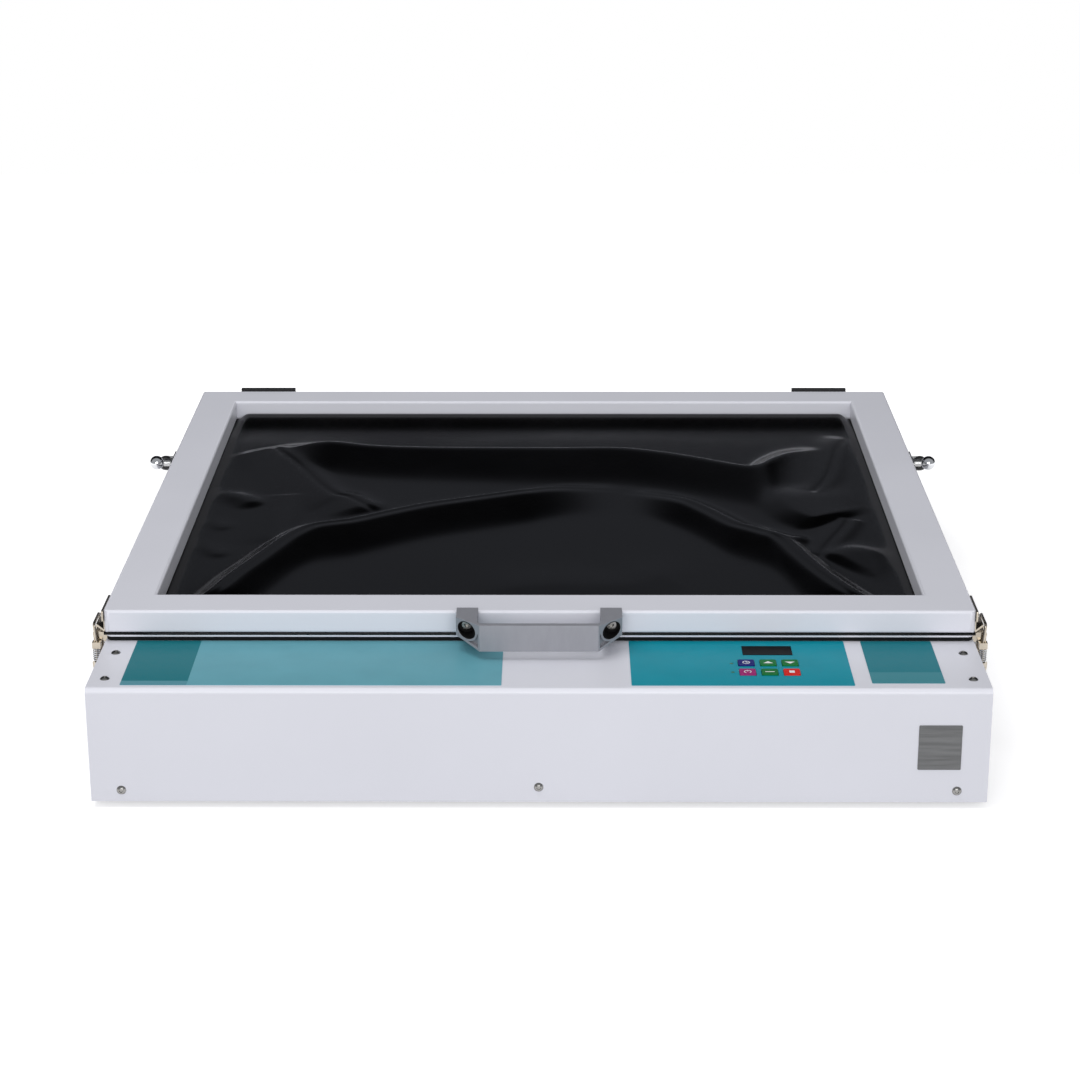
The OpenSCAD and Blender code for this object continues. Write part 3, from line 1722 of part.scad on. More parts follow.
module latch_keeper(s) {
  plate_low = lid_z + 9;
  plate_l = 40;
  hook_w = 23;
  color("tan")
    on_side(s) {
      difference() {
        translate([lid_proud, latch_mid_y - plate_l / 2, plate_low])
          rotate([90, 0, 90])
            linear_extrude(keeper_t)
              round_plate(plate_l, lid_top - 1 - plate_low, 1.5);
        for (spot = keeper_screw_spots())
          translate([lid_proud - past, spot[0], spot[1]])
            rotate([0, 90, 0])
              cylinder(d = 3 + 2 * screw_play, h = keeper_t + 2 * past);
      }
      translate([0, latch_mid_y - hook_w / 2, deck_z])
        latch_slab(hook_w)
          hook_outline(plate_low - deck_z + 1);
    }
}

module latch_keeper_left() {
  latch_keeper(-1);
}

module latch_keeper_right() {
  latch_keeper(1);
}

module latch_lever_left() {
  latch_lever(-1);
}

module latch_lever_right() {
  latch_lever(1);
}

module latch_bail_left() {
  latch_bail(-1);
}

module latch_bail_right() {
  latch_bail(1);
}

module latch_springs_left() {
  latch_springs(-1);
}

module latch_springs_right() {
  latch_springs(1);
}

bottom_pan();
side_panel_left();
side_panel_right();
back_panel();
front_cover();
casing_screws();
deck_frame();
glass_ledge();
glass_gasket();
exposure_glass();
feet();
control_overlay();
instruction_labels();
nameplate();
control_board();
display_module();
power_supply();
vacuum_pump();
pump_mounts();
vacuum_hose();
vacuum_port();
light_box();
led_boards();
wiring_loom();
fan_frame();
fan_guard();
fan_rotor();
power_inlet();
power_rocker();
key_timer();
key_up();
key_down();
key_vacuum();
key_set();
key_stop();
hinge_base_leaves();
hinge_pins();
strut_base_studs();
latch_base_plates();
lid_frame();
rubber_blanket();
clamp_frame();
seal_gasket();
lid_handle();
handle_screws();
lid_screws();
latch_keeper_left();
latch_keeper_right();
strut_lid_studs();
hinge_lid_leaves();
strut_cylinder_left();
strut_cylinder_right();
strut_rod_left();
strut_rod_right();
latch_lever_left();
latch_lever_right();
latch_bail_left();
latch_bail_right();
latch_springs_left();
latch_springs_right();
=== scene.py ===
"""Looks of a screen printing exposure unit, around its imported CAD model."""
import math

import bpy
import numpy as np
from mathutils import Matrix, Vector


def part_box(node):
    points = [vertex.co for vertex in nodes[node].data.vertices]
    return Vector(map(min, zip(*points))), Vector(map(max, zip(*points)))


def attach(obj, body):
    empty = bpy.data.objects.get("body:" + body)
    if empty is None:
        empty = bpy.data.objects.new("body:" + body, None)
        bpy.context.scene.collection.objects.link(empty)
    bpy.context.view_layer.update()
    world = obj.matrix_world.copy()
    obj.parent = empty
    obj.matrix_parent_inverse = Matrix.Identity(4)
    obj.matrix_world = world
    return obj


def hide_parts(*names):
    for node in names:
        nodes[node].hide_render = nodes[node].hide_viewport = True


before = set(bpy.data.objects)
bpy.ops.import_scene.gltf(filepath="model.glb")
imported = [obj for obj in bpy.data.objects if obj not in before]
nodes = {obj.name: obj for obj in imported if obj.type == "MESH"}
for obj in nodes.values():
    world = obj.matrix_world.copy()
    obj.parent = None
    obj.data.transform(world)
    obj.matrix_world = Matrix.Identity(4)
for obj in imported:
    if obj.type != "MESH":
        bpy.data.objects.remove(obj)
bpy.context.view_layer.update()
scene = bpy.context.scene

MM = 0.001
FRONT_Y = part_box("front_cover")[0].y
FOOT_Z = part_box("bottom_pan")[0].z
LID_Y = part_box("lid_frame")[0].y
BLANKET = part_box("rubber_blanket")
BLANKET_T = 1.8 * MM
# Width of the lid's tube in mm, and so of the blanket's clamped edge
TUBE_W = 40


def set_camera():
    """The photograph's view, from a pinhole camera fitted to the object's edges."""
    picture_pixels = 1080
    focal_pixels = 2614
    aside, distance, height = 0.015, 1.940, 0.907
    pitch = math.radians(19.34)
    yaw = math.radians(0.40)
    roll = math.radians(0.10)
    up = Vector((0, 0, 1))
    right = Vector((math.cos(yaw), math.sin(yaw), 0))
    ahead = Vector((-math.sin(yaw), math.cos(yaw), 0))
    forward = ahead * math.cos(pitch) - up * math.sin(pitch)
    down = -(up * math.cos(pitch) + ahead * math.sin(pitch))
    right_2 = right * math.cos(roll) + down * math.sin(roll)
    down_2 = -right * math.sin(roll) + down * math.cos(roll)
    data = bpy.data.cameras.new("camera")
    data.sensor_width = 36
    data.lens = focal_pixels / picture_pixels * data.sensor_width
    data.clip_start = 0.05
    data.clip_end = 60
    camera = bpy.data.objects.new("camera", data)
    scene.collection.objects.link(camera)
    turn = Matrix((right_2, -down_2, -forward)).transposed().to_4x4()
    place = Vector((aside, FRONT_Y - distance, FOOT_Z + height))
    camera.matrix_world = Matrix.Translation(place) @ turn
    scene.camera = camera


def new_node(tree, kind, x=0, y=0, **values):
    node = tree.nodes.new(kind)
    node.location = (x, y)
    for key, value in values.items():
        setattr(node, key, value)
    return node


def material(name, color, rough=0.4, metal=0.0, **sockets):
    """A principled material and its shader."""
    mat = bpy.data.materials.new(name)
    mat.use_nodes = True
    shader = mat.node_tree.nodes["Principled BSDF"]
    shader.inputs["Base Color"].default_value = (*color, 1)
    shader.inputs["Roughness"].default_value = rough
    shader.inputs["Metallic"].default_value = metal
    for key, value in sockets.items():
        shader.inputs[key.replace("_", " ")].default_value = value
    mat.diffuse_color = (*color, 1)
    return mat, shader


def coordinates(tree, stretch=(1, 1, 1)):
    """Place in the row frame, in metres."""
    source = new_node(tree, "ShaderNodeTexCoord", -1400, 0)
    mapping = new_node(tree, "ShaderNodeMapping", -1200, 0)
    mapping.inputs["Scale"].default_value = stretch
    tree.links.new(source.outputs["Object"], mapping.inputs["Vector"])
    return mapping.outputs["Vector"]


def noise(tree, vector, scale, detail=3.0, rough=0.5, y=0):
    node = new_node(tree, "ShaderNodeTexNoise", -950, y)
    node.inputs["Scale"].default_value = scale
    node.inputs["Detail"].default_value = detail
    node.inputs["Roughness"].default_value = rough
    tree.links.new(vector, node.inputs["Vector"])
    return node.outputs["Fac"]


def ramp(tree, value, low, high, start=0.3, end=0.7, y=0):
    """Maps a noise value to a range of numbers."""
    node = new_node(tree, "ShaderNodeMapRange", -700, y)
    node.inputs["From Min"].default_value = start
    node.inputs["From Max"].default_value = end
    node.inputs["To Min"].default_value = low
    node.inputs["To Max"].default_value = high
    tree.links.new(value, node.inputs["Value"])
    return node.outputs["Result"]


def blend_colors(tree, factor, a, b, y=0):
    node = new_node(tree, "ShaderNodeMix", -450, y, data_type="RGBA")
    if isinstance(a, tuple):
        node.inputs[6].default_value = (*a, 1)
    else:
        tree.links.new(a, node.inputs[6])
    if isinstance(b, tuple):
        node.inputs[7].default_value = (*b, 1)
    else:
        tree.links.new(b, node.inputs[7])
    tree.links.new(factor, node.inputs[0])
    return node.outputs[2]


def add_bump(tree, shader, height, strength, distance, y=-500):
    node = new_node(tree, "ShaderNodeBump", -300, y)
    node.inputs["Strength"].default_value = strength
    node.inputs["Distance"].default_value = distance
    tree.links.new(height, node.inputs["Height"])
    tree.links.new(node.outputs["Normal"], shader.inputs["Normal"])
    return node


def finish_grain(mat, shader, color, spread=0.06, rough=(0.3, 0.4), grain=400, cloud=9,
                 strength=0.05, distance=0.0003, stretch=(1, 1, 1)):
    """Clouded colour, uneven gloss and a fine surface grain."""
    tree = mat.node_tree
    vector = coordinates(tree, stretch)
    wide = noise(tree, vector, cloud, 4, 0.6, 300)
    dark = tuple(c * (1 - spread) for c in color)
    light = tuple(min(1, c * (1 + spread)) for c in color)
    share = ramp(tree, wide, 0, 1, 0.3, 0.7, 300)
    tree.links.new(blend_colors(tree, share, dark, light, 300), shader.inputs["Base Color"])
    fine = noise(tree, vector, grain, 2, 0.5, -200)
    tree.links.new(ramp(tree, wide, rough[0], rough[1], 0.3, 0.7, 0), shader.inputs["Roughness"])
    add_bump(tree, shader, fine, strength, distance)
    return mat


def simple(name, color, rough=(0.35, 0.45), metal=0.0, grain=500, cloud=12, spread=0.06,
           strength=0.05, distance=0.0003, stretch=(1, 1, 1), **sockets):
    mat, shader = material(name, color, rough[0], metal, **sockets)
    return finish_grain(mat, shader, color, spread, rough, grain, cloud, strength, distance, stretch)


def film_material(name, base, patches):
    """Printed film. Each patch is (x from, x to, y from, y to, colour) in metres in the row frame."""
    mat, shader = material(name, base, 0.34, Specular_IOR_Level=0.1)
    tree = mat.node_tree
    source = new_node(tree, "ShaderNodeTexCoord", -2200, 0)
    split = new_node(tree, "ShaderNodeSeparateXYZ", -2000, 0)
    tree.links.new(source.outputs["Object"], split.inputs["Vector"])
    wide = noise(tree, source.outputs["Object"], 30, 3, 0.5, 500)
    share = ramp(tree, wide, 0, 1, 0.3, 0.7, 500)
    color = blend_colors(tree, share, tuple(c * 0.96 for c in base), tuple(c * 1.04 for c in base), 500)
    for k, (x0, x1, y0, y1, tint) in enumerate(patches):
        product = None
        for axis, low, high in (("X", x0, x1), ("Y", y0, y1)):
            for limit, kind in ((low, "GREATER_THAN"), (high, "LESS_THAN")):
                test = new_node(tree, "ShaderNodeMath", -1700, -200 * k, operation=kind)
                tree.links.new(split.outputs[axis], test.inputs[0])
                test.inputs[1].default_value = limit
                if product is None:
                    product = test.outputs[0]
                else:
                    both = new_node(tree, "ShaderNodeMath", -1500, -200 * k, operation="MULTIPLY")
                    tree.links.new(product, both.inputs[0])
                    tree.links.new(test.outputs[0], both.inputs[1])
                    product = both.outputs[0]
        color = blend_colors(tree, product, color, tint, -200 * k)
    tree.links.new(color, shader.inputs["Base Color"])
    fine = noise(tree, source.outputs["Object"], 900, 2, 0.5, -600)
    add_bump(tree, shader, fine, 0.04, 0.0002)
    return mat


def make_materials():
    white = (0.665, 0.672, 0.735)
    mats = {}
    mats["paint"] = simple("white_paint", white, (0.3, 0.38), grain=330, cloud=5, spread=0.015,
                           strength=0.05, distance=0.0004)
    mats["lamp_white"] = simple("lamp_box_white", (0.8, 0.8, 0.8), (0.6, 0.7))
    mats["zinc"] = simple("zinc_steel", (0.55, 0.55, 0.55), (0.22, 0.38), 1.0, grain=900, spread=0.1)
    mats["screw"] = simple("screw_steel", (0.30, 0.295, 0.285), (0.2, 0.34), 1.0, grain=900, spread=0.15)
    mats["bronze"] = simple("passivated_steel", (0.46, 0.41, 0.34), (0.16, 0.3), 1.0, grain=700,
                            cloud=60, spread=0.18)
    mats["chrome"] = simple("chrome", (0.72, 0.73, 0.75), (0.06, 0.1), 1.0, spread=0.03, strength=0.01)
    mats["cast"] = simple("grey_coat", (0.26, 0.265, 0.295), (0.3, 0.4), 0.15, grain=600,
                          cloud=90, spread=0.05, strength=0.1, distance=0.0003,
                          stretch=(1.6, 1.6, 0.5))
    mats["black_metal"] = simple("black_metal", (0.01, 0.01, 0.011), (0.32, 0.42), spread=0.2,
                                 Specular_IOR_Level=0.3)
    mats["black_plastic"] = simple("black_plastic", (0.018, 0.018, 0.02), (0.42, 0.55), spread=0.15,
                                   grain=1500)
    mats["foam"] = simple("black_seal", (0.004, 0.004, 0.0045), (0.7, 0.85), spread=0.2, grain=900,
                          strength=0.3, Specular_IOR_Level=0.2)
    mats["foot"] = simple("foot_rubber", (0.015, 0.015, 0.016), (0.6, 0.75), grain=800, strength=0.2)
    mats["window"] = simple("dark_window", (0.0025, 0.0025, 0.003), (0.3, 0.4), spread=0.1,
                            strength=0.01, Specular_IOR_Level=0.06)
    mats["board"] = simple("board_green", (0.02, 0.13, 0.05), (0.25, 0.35), grain=300, spread=0.2)
    mats["brass"] = simple("brass", (0.62, 0.45, 0.2), (0.22, 0.32), 1.0)
    mats["pump"] = simple("pump_grey", (0.16, 0.18, 0.2), (0.4, 0.5), spread=0.1)
    mats["plate"] = simple("brushed_plate", (0.13, 0.132, 0.135), (0.34, 0.5), 0.55, grain=500, cloud=160,
                           spread=0.22, strength=0.1, stretch=(0.12, 1, 2.5))
    mats["glyph"] = simple("white_print", (0.75, 0.76, 0.8), (0.4, 0.5), spread=0.02)
    mats["red"] = simple("rocker_red", (0.42, 0.02, 0.018), (0.3, 0.4))
    glass, shader = material("bed_glass", (0.93, 0.98, 0.965), 0.02, IOR=1.46, Transmission_Weight=1.0)
    tree = glass.node_tree
    vector = coordinates(tree)
    cloud = noise(tree, vector, 6, 3, 0.5, 0)
    tree.links.new(ramp(tree, cloud, 0.005, 0.03, 0.3, 0.7, 0), shader.inputs["Roughness"])
    mats["glass"] = glass
    teal = (0.005, 0.25, 0.33)
    dull_teal = (0.012, 0.18, 0.24)
    mats["panel_film"] = film_material("panel_film", teal, [
        (0.0765, 0.2535, FRONT_Y + 0.0095, FRONT_Y + 0.0098, dull_teal)])
    pale = (0.12, 0.335, 0.405)
    deep = (0.013, 0.162, 0.197)
    deep_left, deep_right = -0.340, -0.284
    right_film, right_end = 0.2, 0.4
    mats["label_film"] = film_material("label_film", pale, [
        (deep_left, deep_right, -1, 1, deep),
        (deep_left, deep_right, FRONT_Y + 0.0072, FRONT_Y + 0.0165, (0.085, 0.26, 0.32)),
        (right_film, right_end, -1, 1, (0.014, 0.177, 0.222)),
        (right_film, right_end, -1, FRONT_Y + 0.036, (0.05, 0.225, 0.268))])
    green = (0.004, 0.15, 0.03)
    keys = {"key_timer": (0.008, 0.01, 0.15), "key_up": green, "key_down": green,
            "key_vacuum": (0.3, 0.015, 0.14), "key_set": green, "key_stop": (0.6, 0.014, 0.008)}
    for name, color in keys.items():
        mats[name] = simple(name + "_cap", color, (0.32, 0.42), spread=0.05, grain=1200,
                            Specular_IOR_Level=0.1)
    mats["rubber"] = rubber_material()
    return mats


def rubber_material():
    """Smooth black rubber sheet with an uneven gloss and a fine grain."""
    mat, shader = material("blanket_rubber", (0.001, 0.001, 0.0012), 0.16, Specular_IOR_Level=0.2)
    tree = mat.node_tree
    vector = coordinates(tree)
    wide = noise(tree, vector, 14, 5, 0.6, 300)
    share = ramp(tree, wide, 0, 1, 0.35, 0.7, 300)
    tree.links.new(blend_colors(tree, share, (0.0007, 0.0007, 0.0008), (0.0014, 0.0014, 0.0016), 300),
                   shader.inputs["Base Color"])
    tree.links.new(ramp(tree, wide, 0.14, 0.18, 0.3, 0.7, 0), shader.inputs["Roughness"])
    fine = noise(tree, vector, 750, 3, 0.6, -200)
    add_bump(tree, shader, fine, 0.025, 0.0001)
    return mat


def link(obj):
    scene.collection.objects.link(obj)
    return obj


def mesh_object(name, verts, faces, mat, smooth=False):
    data = bpy.data.meshes.new(name)
    data.from_pydata(verts, [], faces)
    data.update()
    data.materials.append(mat)
    if smooth:
        data.polygons.foreach_set("use_smooth", [True] * len(data.polygons))
    return link(bpy.data.objects.new(name, data))


# Angles between faces: shaded smooth below the first, joined below the second, rounded above the third
SMOOTH_BELOW = math.radians(32)
FLAT_BELOW = math.radians(0.5)
ROUND_ABOVE = math.radians(38)


def smooth_group():
    """A modifier that joins the split corners of a CAD mesh and shades round faces smooth."""
    group = bpy.data.node_groups.new("joined_and_smooth", "GeometryNodeTree")
    group.interface.new_socket("Geometry", in_out="INPUT", socket_type="NodeSocketGeometry")
    group.interface.new_socket("Geometry", in_out="OUTPUT", socket_type="NodeSocketGeometry")
    start = group.nodes.new("NodeGroupInput")
    merge = group.nodes.new("GeometryNodeMergeByDistance")
    merge.inputs["Distance"].default_value = 0.000004
    angle = group.nodes.new("GeometryNodeInputMeshEdgeAngle")
    test = group.nodes.new("FunctionNodeCompare")
    test.data_type = "FLOAT"
    test.operation = "LESS_THAN"
    test.inputs[1].default_value = SMOOTH_BELOW
    faces = group.nodes.new("GeometryNodeSetShadeSmooth")
    faces.domain = "FACE"
    edges = group.nodes.new("GeometryNodeSetShadeSmooth")
    edges.domain = "EDGE"
    end = group.nodes.new("NodeGroupOutput")
    links = group.links
    links.new(start.outputs[0], merge.inputs["Geometry"])
    links.new(merge.outputs["Geometry"], faces.inputs["Geometry"])
    links.new(faces.outputs["Geometry"], edges.inputs["Geometry"])
    links.new(angle.outputs["Unsigned Angle"], test.inputs[0])
    links.new(test.outputs["Result"], edges.inputs["Shade Smooth"])
    links.new(edges.outputs["Geometry"], end.inputs[0])
    return group


def soften(obj, group, width=0.0):
    """Smooth shading on a CAD piece, and rounded edges where a width is given."""
    mesh = obj.data
    if "custom_normal" in mesh.attributes:
        mesh.attributes.remove(mesh.attributes["custom_normal"])
    join = obj.modifiers.new("join", "NODES")
    join.node_group = group
    if width > 0:
        flatten = obj.modifiers.new("whole_faces", "DECIMATE")
        flatten.decimate_type = "DISSOLVE"
        flatten.angle_limit = FLAT_BELOW
        bevel = obj.modifiers.new("round_edges", "BEVEL")
        bevel.width = width
        bevel.segments = 2
        bevel.limit_method = "ANGLE"
        bevel.angle_limit = ROUND_ABOVE
    weigh = obj.modifiers.new("even_shading", "WEIGHTED_NORMAL")
    weigh.mode = "FACE_AREA"
    weigh.weight = 50
    weigh.keep_sharp = True


def paint_nodes(mats):
    plan = {
        "bottom_pan": "paint", "side_panel_left": "paint", "side_panel_right": "paint",
        "back_panel": "paint", "front_cover": "paint", "casing_screws": "screw",
        "deck_frame": "paint", "glass_ledge": "lamp_white", "glass_gasket": "foam",
        "exposure_glass": "glass", "feet": "foot", "control_overlay": "panel_film",
        "instruction_labels": "label_film", "nameplate": "plate", "control_board": "board",
        "display_module": "window", "power_supply": "zinc", "vacuum_pump": "pump",
        "pump_mounts": "foot", "vacuum_hose": "black_plastic", "vacuum_port": "brass",
        "light_box": "lamp_white", "led_boards": "board", "wiring_loom": "black_plastic",
        "fan_frame": "black_plastic", "fan_guard": "zinc", "fan_rotor": "black_plastic",
        "power_inlet": "black_plastic", "power_rocker": "red", "hinge_base_leaves": "black_metal",
        "hinge_pins": "zinc", "strut_base_studs": "zinc", "latch_base_plates": "bronze",
        "lid_frame": "paint", "rubber_blanket": "rubber", "clamp_frame": "paint",
        "seal_gasket": "foam", "lid_handle": "cast", "handle_screws": "screw",
        "lid_screws": "screw", "latch_keeper_left": "bronze", "latch_keeper_right": "bronze",
        "strut_lid_studs": "zinc", "hinge_lid_leaves": "black_metal",
        "strut_cylinder_left": "black_metal", "strut_cylinder_right": "black_metal",
        "strut_rod_left": "chrome", "strut_rod_right": "chrome", "latch_lever_left": "bronze",
        "latch_lever_right": "bronze", "latch_bail_left": "bronze", "latch_bail_right": "bronze",
        "latch_springs_left": "chrome", "latch_springs_right": "chrome",
    }
    bevels = {
        "lid_handle": 0.0009, "clamp_frame": 0.0004,
        "seal_gasket": 0.0006, "hinge_base_leaves": 0.0005, "hinge_lid_leaves": 0.0005,
        "strut_base_studs": 0.0004, "strut_lid_studs": 0.0004, "latch_base_plates": 0.0003,
        "latch_keeper_left": 0.0003, "latch_keeper_right": 0.0003, "latch_lever_left": 0.0003,
        "latch_lever_right": 0.0003, "nameplate": 0.0002, "feet": 0.0006, "power_inlet": 0.0005,
        "power_rocker": 0.0004, "strut_cylinder_left": 0.0005, "strut_cylinder_right": 0.0005,
        "key_timer": 0.0006, "key_up": 0.0006, "key_down": 0.0006, "key_vacuum": 0.0006,
        "key_set": 0.0006, "key_stop": 0.0006, "casing_screws": 0.0002, "lid_screws": 0.0002,
        "handle_screws": 0.0004, "exposure_glass": 0.0006, "vacuum_pump": 0.0008,
    }
    group = smooth_group()
    for name, obj in nodes.items():
        obj.data.materials.clear()
        obj.data.materials.append(mats[plan.get(name, name)])
        if name != "rubber_blanket":
            soften(obj, group, bevels.get(name, 0.0))


# Fold crests: share of the height, width in front at the start and at the end, width behind,
# share of the fine groove behind the crest, fading length at the start and at the end, and the
# crest's points, in mm from the middle and the front of the lid. The first MAIN_FOLDS of them
# fall towards the front, the others square to the crest.
MAIN_FOLDS = 3
# A crest is rounded to this radius. One with a groove is this wide on top, and its groove lies
# this far behind the crest.
CREST_R = 3
CREST_W = 9.0
GROOVE_AT = 5.5
# Where a fold's fading starts at its ends, and the share of the height that is low waves
END_RISE = 0.15
WAVE_SHARE = 0.05
# Widths of the sheet's roll along the back wall and of the swell before it
ROLL_W = 36
SWELL_W = 60
FOLDS = [
    (1, 66, 100, 13, 0, 70, 150, [(-273, 504), (-250, 507), (-214, 506), (-175, 494), (-124, 488),
        (-60, 485), (16, 482), (73, 483), (111, 473), (148, 456), (184, 435), (206, 426),
        (221, 437), (234, 464), (250, 489), (267, 501), (289, 510)]),
    (0.86, 74, 56, 13, 0.085, 24, 130, [(-289, 20), (-271, 83), (-260, 120), (-246, 157), (-234, 190),
        (-222, 221), (-207, 244), (-189, 252), (-171, 259), (-137, 283), (-103, 305), (-56, 327),
        (-8, 349), (-2, 353), (23, 364), (52, 369), (78, 372)]),
    (0.7, 50, 74, 13, 0.085, 90, 40, [(78, 367), (107, 347), (132, 323), (152, 293), (173, 257),
        (195, 237), (212, 217), (225, 174), (239, 131), (260, 81), (283, 36)]),
    (0.48, 34, 24, 56, 0, 90, 16, [(221, 410), (223, 388), (227, 359), (237, 323), (247, 299),
        (266, 275)]),
    (0.4, 24, 20, 10, 0, 12, 20, [(202, 236), (218, 230), (229, 228), (251, 225)]),
    (0.3, 60, 40, 12, 0.12, 14, 30, [(-284, 518), (-269, 490), (-243, 438), (-219, 382), (-202, 355),
        (-191, 349), (-160, 305)]),
    (0.24, 20, 20, 12, 0, 8, 24, [(-331, 381), (-319, 369), (-291, 354), (-267, 327)]),
    (0.16, 12, 12, 14, 0.12, 14, 16, [(268, 366), (286, 415), (296, 458), (308, 517), (322, 557)]),
    (0.16, 10, 10, 12, 0.12, 10, 10, [(259, 181), (266, 209), (288, 265), (297, 294)]),
    (0.34, 60, 66, 18, 0, 20, 30, [(256, 176), (270, 186), (284, 196), (297, 194), (316, 188),
        (336, 180)]),
    (0.2, 10, 10, 26, 0, 30, 10, [(-239, 215), (-238, 264), (-237, 330), (-237, 368)]),
    (0.16, 44, 44, 40, 0, 60, 50, [(-61, 97), (-17, 110), (16, 115), (33, 113), (75, 114), (93, 126),
        (115, 143), (142, 146)]),
    (0.12, 10, 10, 12, 0, 10, 20, [(-336, 306), (-314, 284), (-290, 262)]),
    (0.12, 10, 10, 12, 0, 10, 20, [(-331, 234), (-310, 213), (-286, 186)]),
]


def smooth_step(x):
    x = np.clip(x, 0, 1)
    return x * x * (3 - 2 * x)


def smooth_line(points, step=5.0):
    """A smooth line through the points."""
    p = np.array(points, float)
    p = np.vstack([2 * p[0] - p[1], p, 2 * p[-1] - p[-2]])
    out = []
    for a, b, c, d in zip(p[:-3], p[1:-2], p[2:-1], p[3:]):
        count = max(2, int(np.hypot(*(c - b)) / step))
        t = np.linspace(0, 1, count, endpoint=False)[:, None]
        bend = (2 * a - 5 * b + 4 * c - d) * t ** 2 + (3 * b - a - 3 * c + d) * t ** 3
        out.append(0.5 * (2 * b + (c - a) * t + bend))
    return np.vstack(out + [p[-2:-1]])


def softened(field, steps, spread=2.0):
    """Rounds the field a little, as no crease is sharper than the sheet is thick."""
    for axis, step in enumerate(steps):
        reach = max(1, int(3 * spread / step))
        weights = np.exp(-(np.arange(-reach, reach + 1) * step / spread) ** 2 / 2)
        weights /= weights.sum()
        count = field.shape[axis]
        size = [(0, 0), (0, 0)]
        size[axis] = (reach, reach)
        padded = np.pad(field, size, mode="edge")
        field = sum(w * np.take(padded, range(k, k + count), axis=axis) for k, w in enumerate(weights))
    return field


def soft_ramp(x, sharpness):
    """Falls evenly from 1 at x = 0 to 0 at x = 1, with a rounded foot."""
    return np.logaddexp(0, sharpness * (1 - x)) / sharpness


def nearest_on_line(u, v, line, pieces, along):
    """Each point's distance from the line, its offset to the line's left and its place along it."""
    best = np.full(u.shape, 1e9)
    side = np.zeros_like(u)
    place = np.zeros_like(u)
    for k, length in enumerate(pieces):
        (ax, ay), (bx, by) = line[k], line[k + 1]
        dx, dy = bx - ax, by - ay
        t = np.clip(((u - ax) * dx + (v - ay) * dy) / length ** 2, 0, 1)
        gx, gy = u - ax - t * dx, v - ay - t * dy
        gap = np.hypot(gx, gy)
        nearer = gap < best
        best = np.where(nearer, gap, best)
        side = np.where(nearer, (dx * gy - dy * gx) / length, side)
        place = np.where(nearer, along[k] + t * length, place)
    return best, side, place


def one_fold(fold, falls_forward, u, v):
    """The points that a fold reaches, with its rise and the cut of its groove as shares of the top."""
    share, before_a, before_b, behind, groove, fade_a, fade_b, points = fold
    line = smooth_line(points)
    pieces = np.hypot(*(line[1:] - line[:-1]).T)
    along = np.concatenate([[0], np.cumsum(pieces)])
    reach = 2.6 * max(before_a, before_b, behind) + 12
    low, high = line.min(axis=0) - reach, line.max(axis=0) + reach
    near = (u > low[0]) & (u < high[0]) & (v > low[1]) & (v < high[1])
    u, v = u[near], v[near]
    best, side, place = nearest_on_line(u, v, line, pieces, along)
    turn = smooth_step(0.5 + 0.5 * np.clip(side / np.maximum(best, 1e-6), -1, 1))
    if falls_forward:
        inside = np.clip(u, line[0, 0], line[-1, 0])
        ahead = np.maximum(np.interp(inside, line[:, 0], line[:, 1]) - v, 0)
        ahead = np.hypot(ahead, u - inside)
        best = np.where(side > 0, best, np.maximum(best, ahead))
        place = np.where(side > 0, place, np.interp(inside, line[:, 0], along))
    before = before_a + (before_b - before_a) * place / along[-1]
    flat = CREST_W * turn if groove else 0.0
    fade = smooth_step(END_RISE + place / fade_a) * smooth_step(END_RISE + (along[-1] - place) / fade_b)
    soft = np.sqrt(np.maximum(best - flat, 0) ** 2 + CREST_R ** 2) - CREST_R
    in_front = soft_ramp(soft / before, 8)
    in_back = np.exp(-(soft / behind) ** 1.75)
    rise = share * fade * (in_front + (in_back - in_front) * turn)
    cut = np.exp(-((side - GROOVE_AT) / 2.6) ** 2) * np.exp(-((best - GROOVE_AT) / 4.0) ** 2)
    return near, rise, groove * fade * cut


def wall_roll(back, room):
    """Rise of the sheet's roll along the back wall, back mm from it and room mm from the other walls."""
    fall = np.maximum(back - 6, 0)
    roll = 0.42 * soft_ramp(fall / ROLL_W, 6)
    swell = 0.3 * soft_ramp(fall / SWELL_W, 6)
    return smooth_step(back / 3) * smooth_step(room / 12) * (roll + swell)


def fold_height(u, v, half_w, depth, top):
    """Height of the blanket above its clamped level at points u, v in mm."""
    total = np.zeros_like(u)
    cuts = np.zeros_like(u)
    for number, fold in enumerate(FOLDS):
        near, rise, cut = one_fold(fold, number < MAIN_FOLDS, u, v)
        total[near] += rise ** 3
        cuts[near] += cut
    total = total ** (1 / 3) - cuts
    waves = 1 + np.sin(u / 61 + 0.7) * np.sin(v / 83 + 1.9)
    total = total * (1 - WAVE_SHARE) + WAVE_SHARE * waves
    room = np.minimum(half_w - np.abs(u), v - TUBE_W)
    back = depth - TUBE_W - v
    edge = np.where(room <= 0, 0, 1 - np.exp(-np.maximum(room, 0) ** 2 / 500.0))
    total = np.maximum(total * edge, 0) * smooth_step(back / 26)
    total = np.sqrt(total ** 2 + wall_roll(back, room) ** 2)
    total = softened(total, (v[2, 0] - v[1, 0], u[0, 2] - u[0, 1]))
    total = np.where(room <= 0, 0, total)
    return total / max(1.0, total.max()) * top


def grid_faces(nx, ny):
    return [(j * nx + i, j * nx + i + 1, (j + 1) * nx + i + 1, (j + 1) * nx + i)
            for j in range(ny - 1) for i in range(nx - 1)]


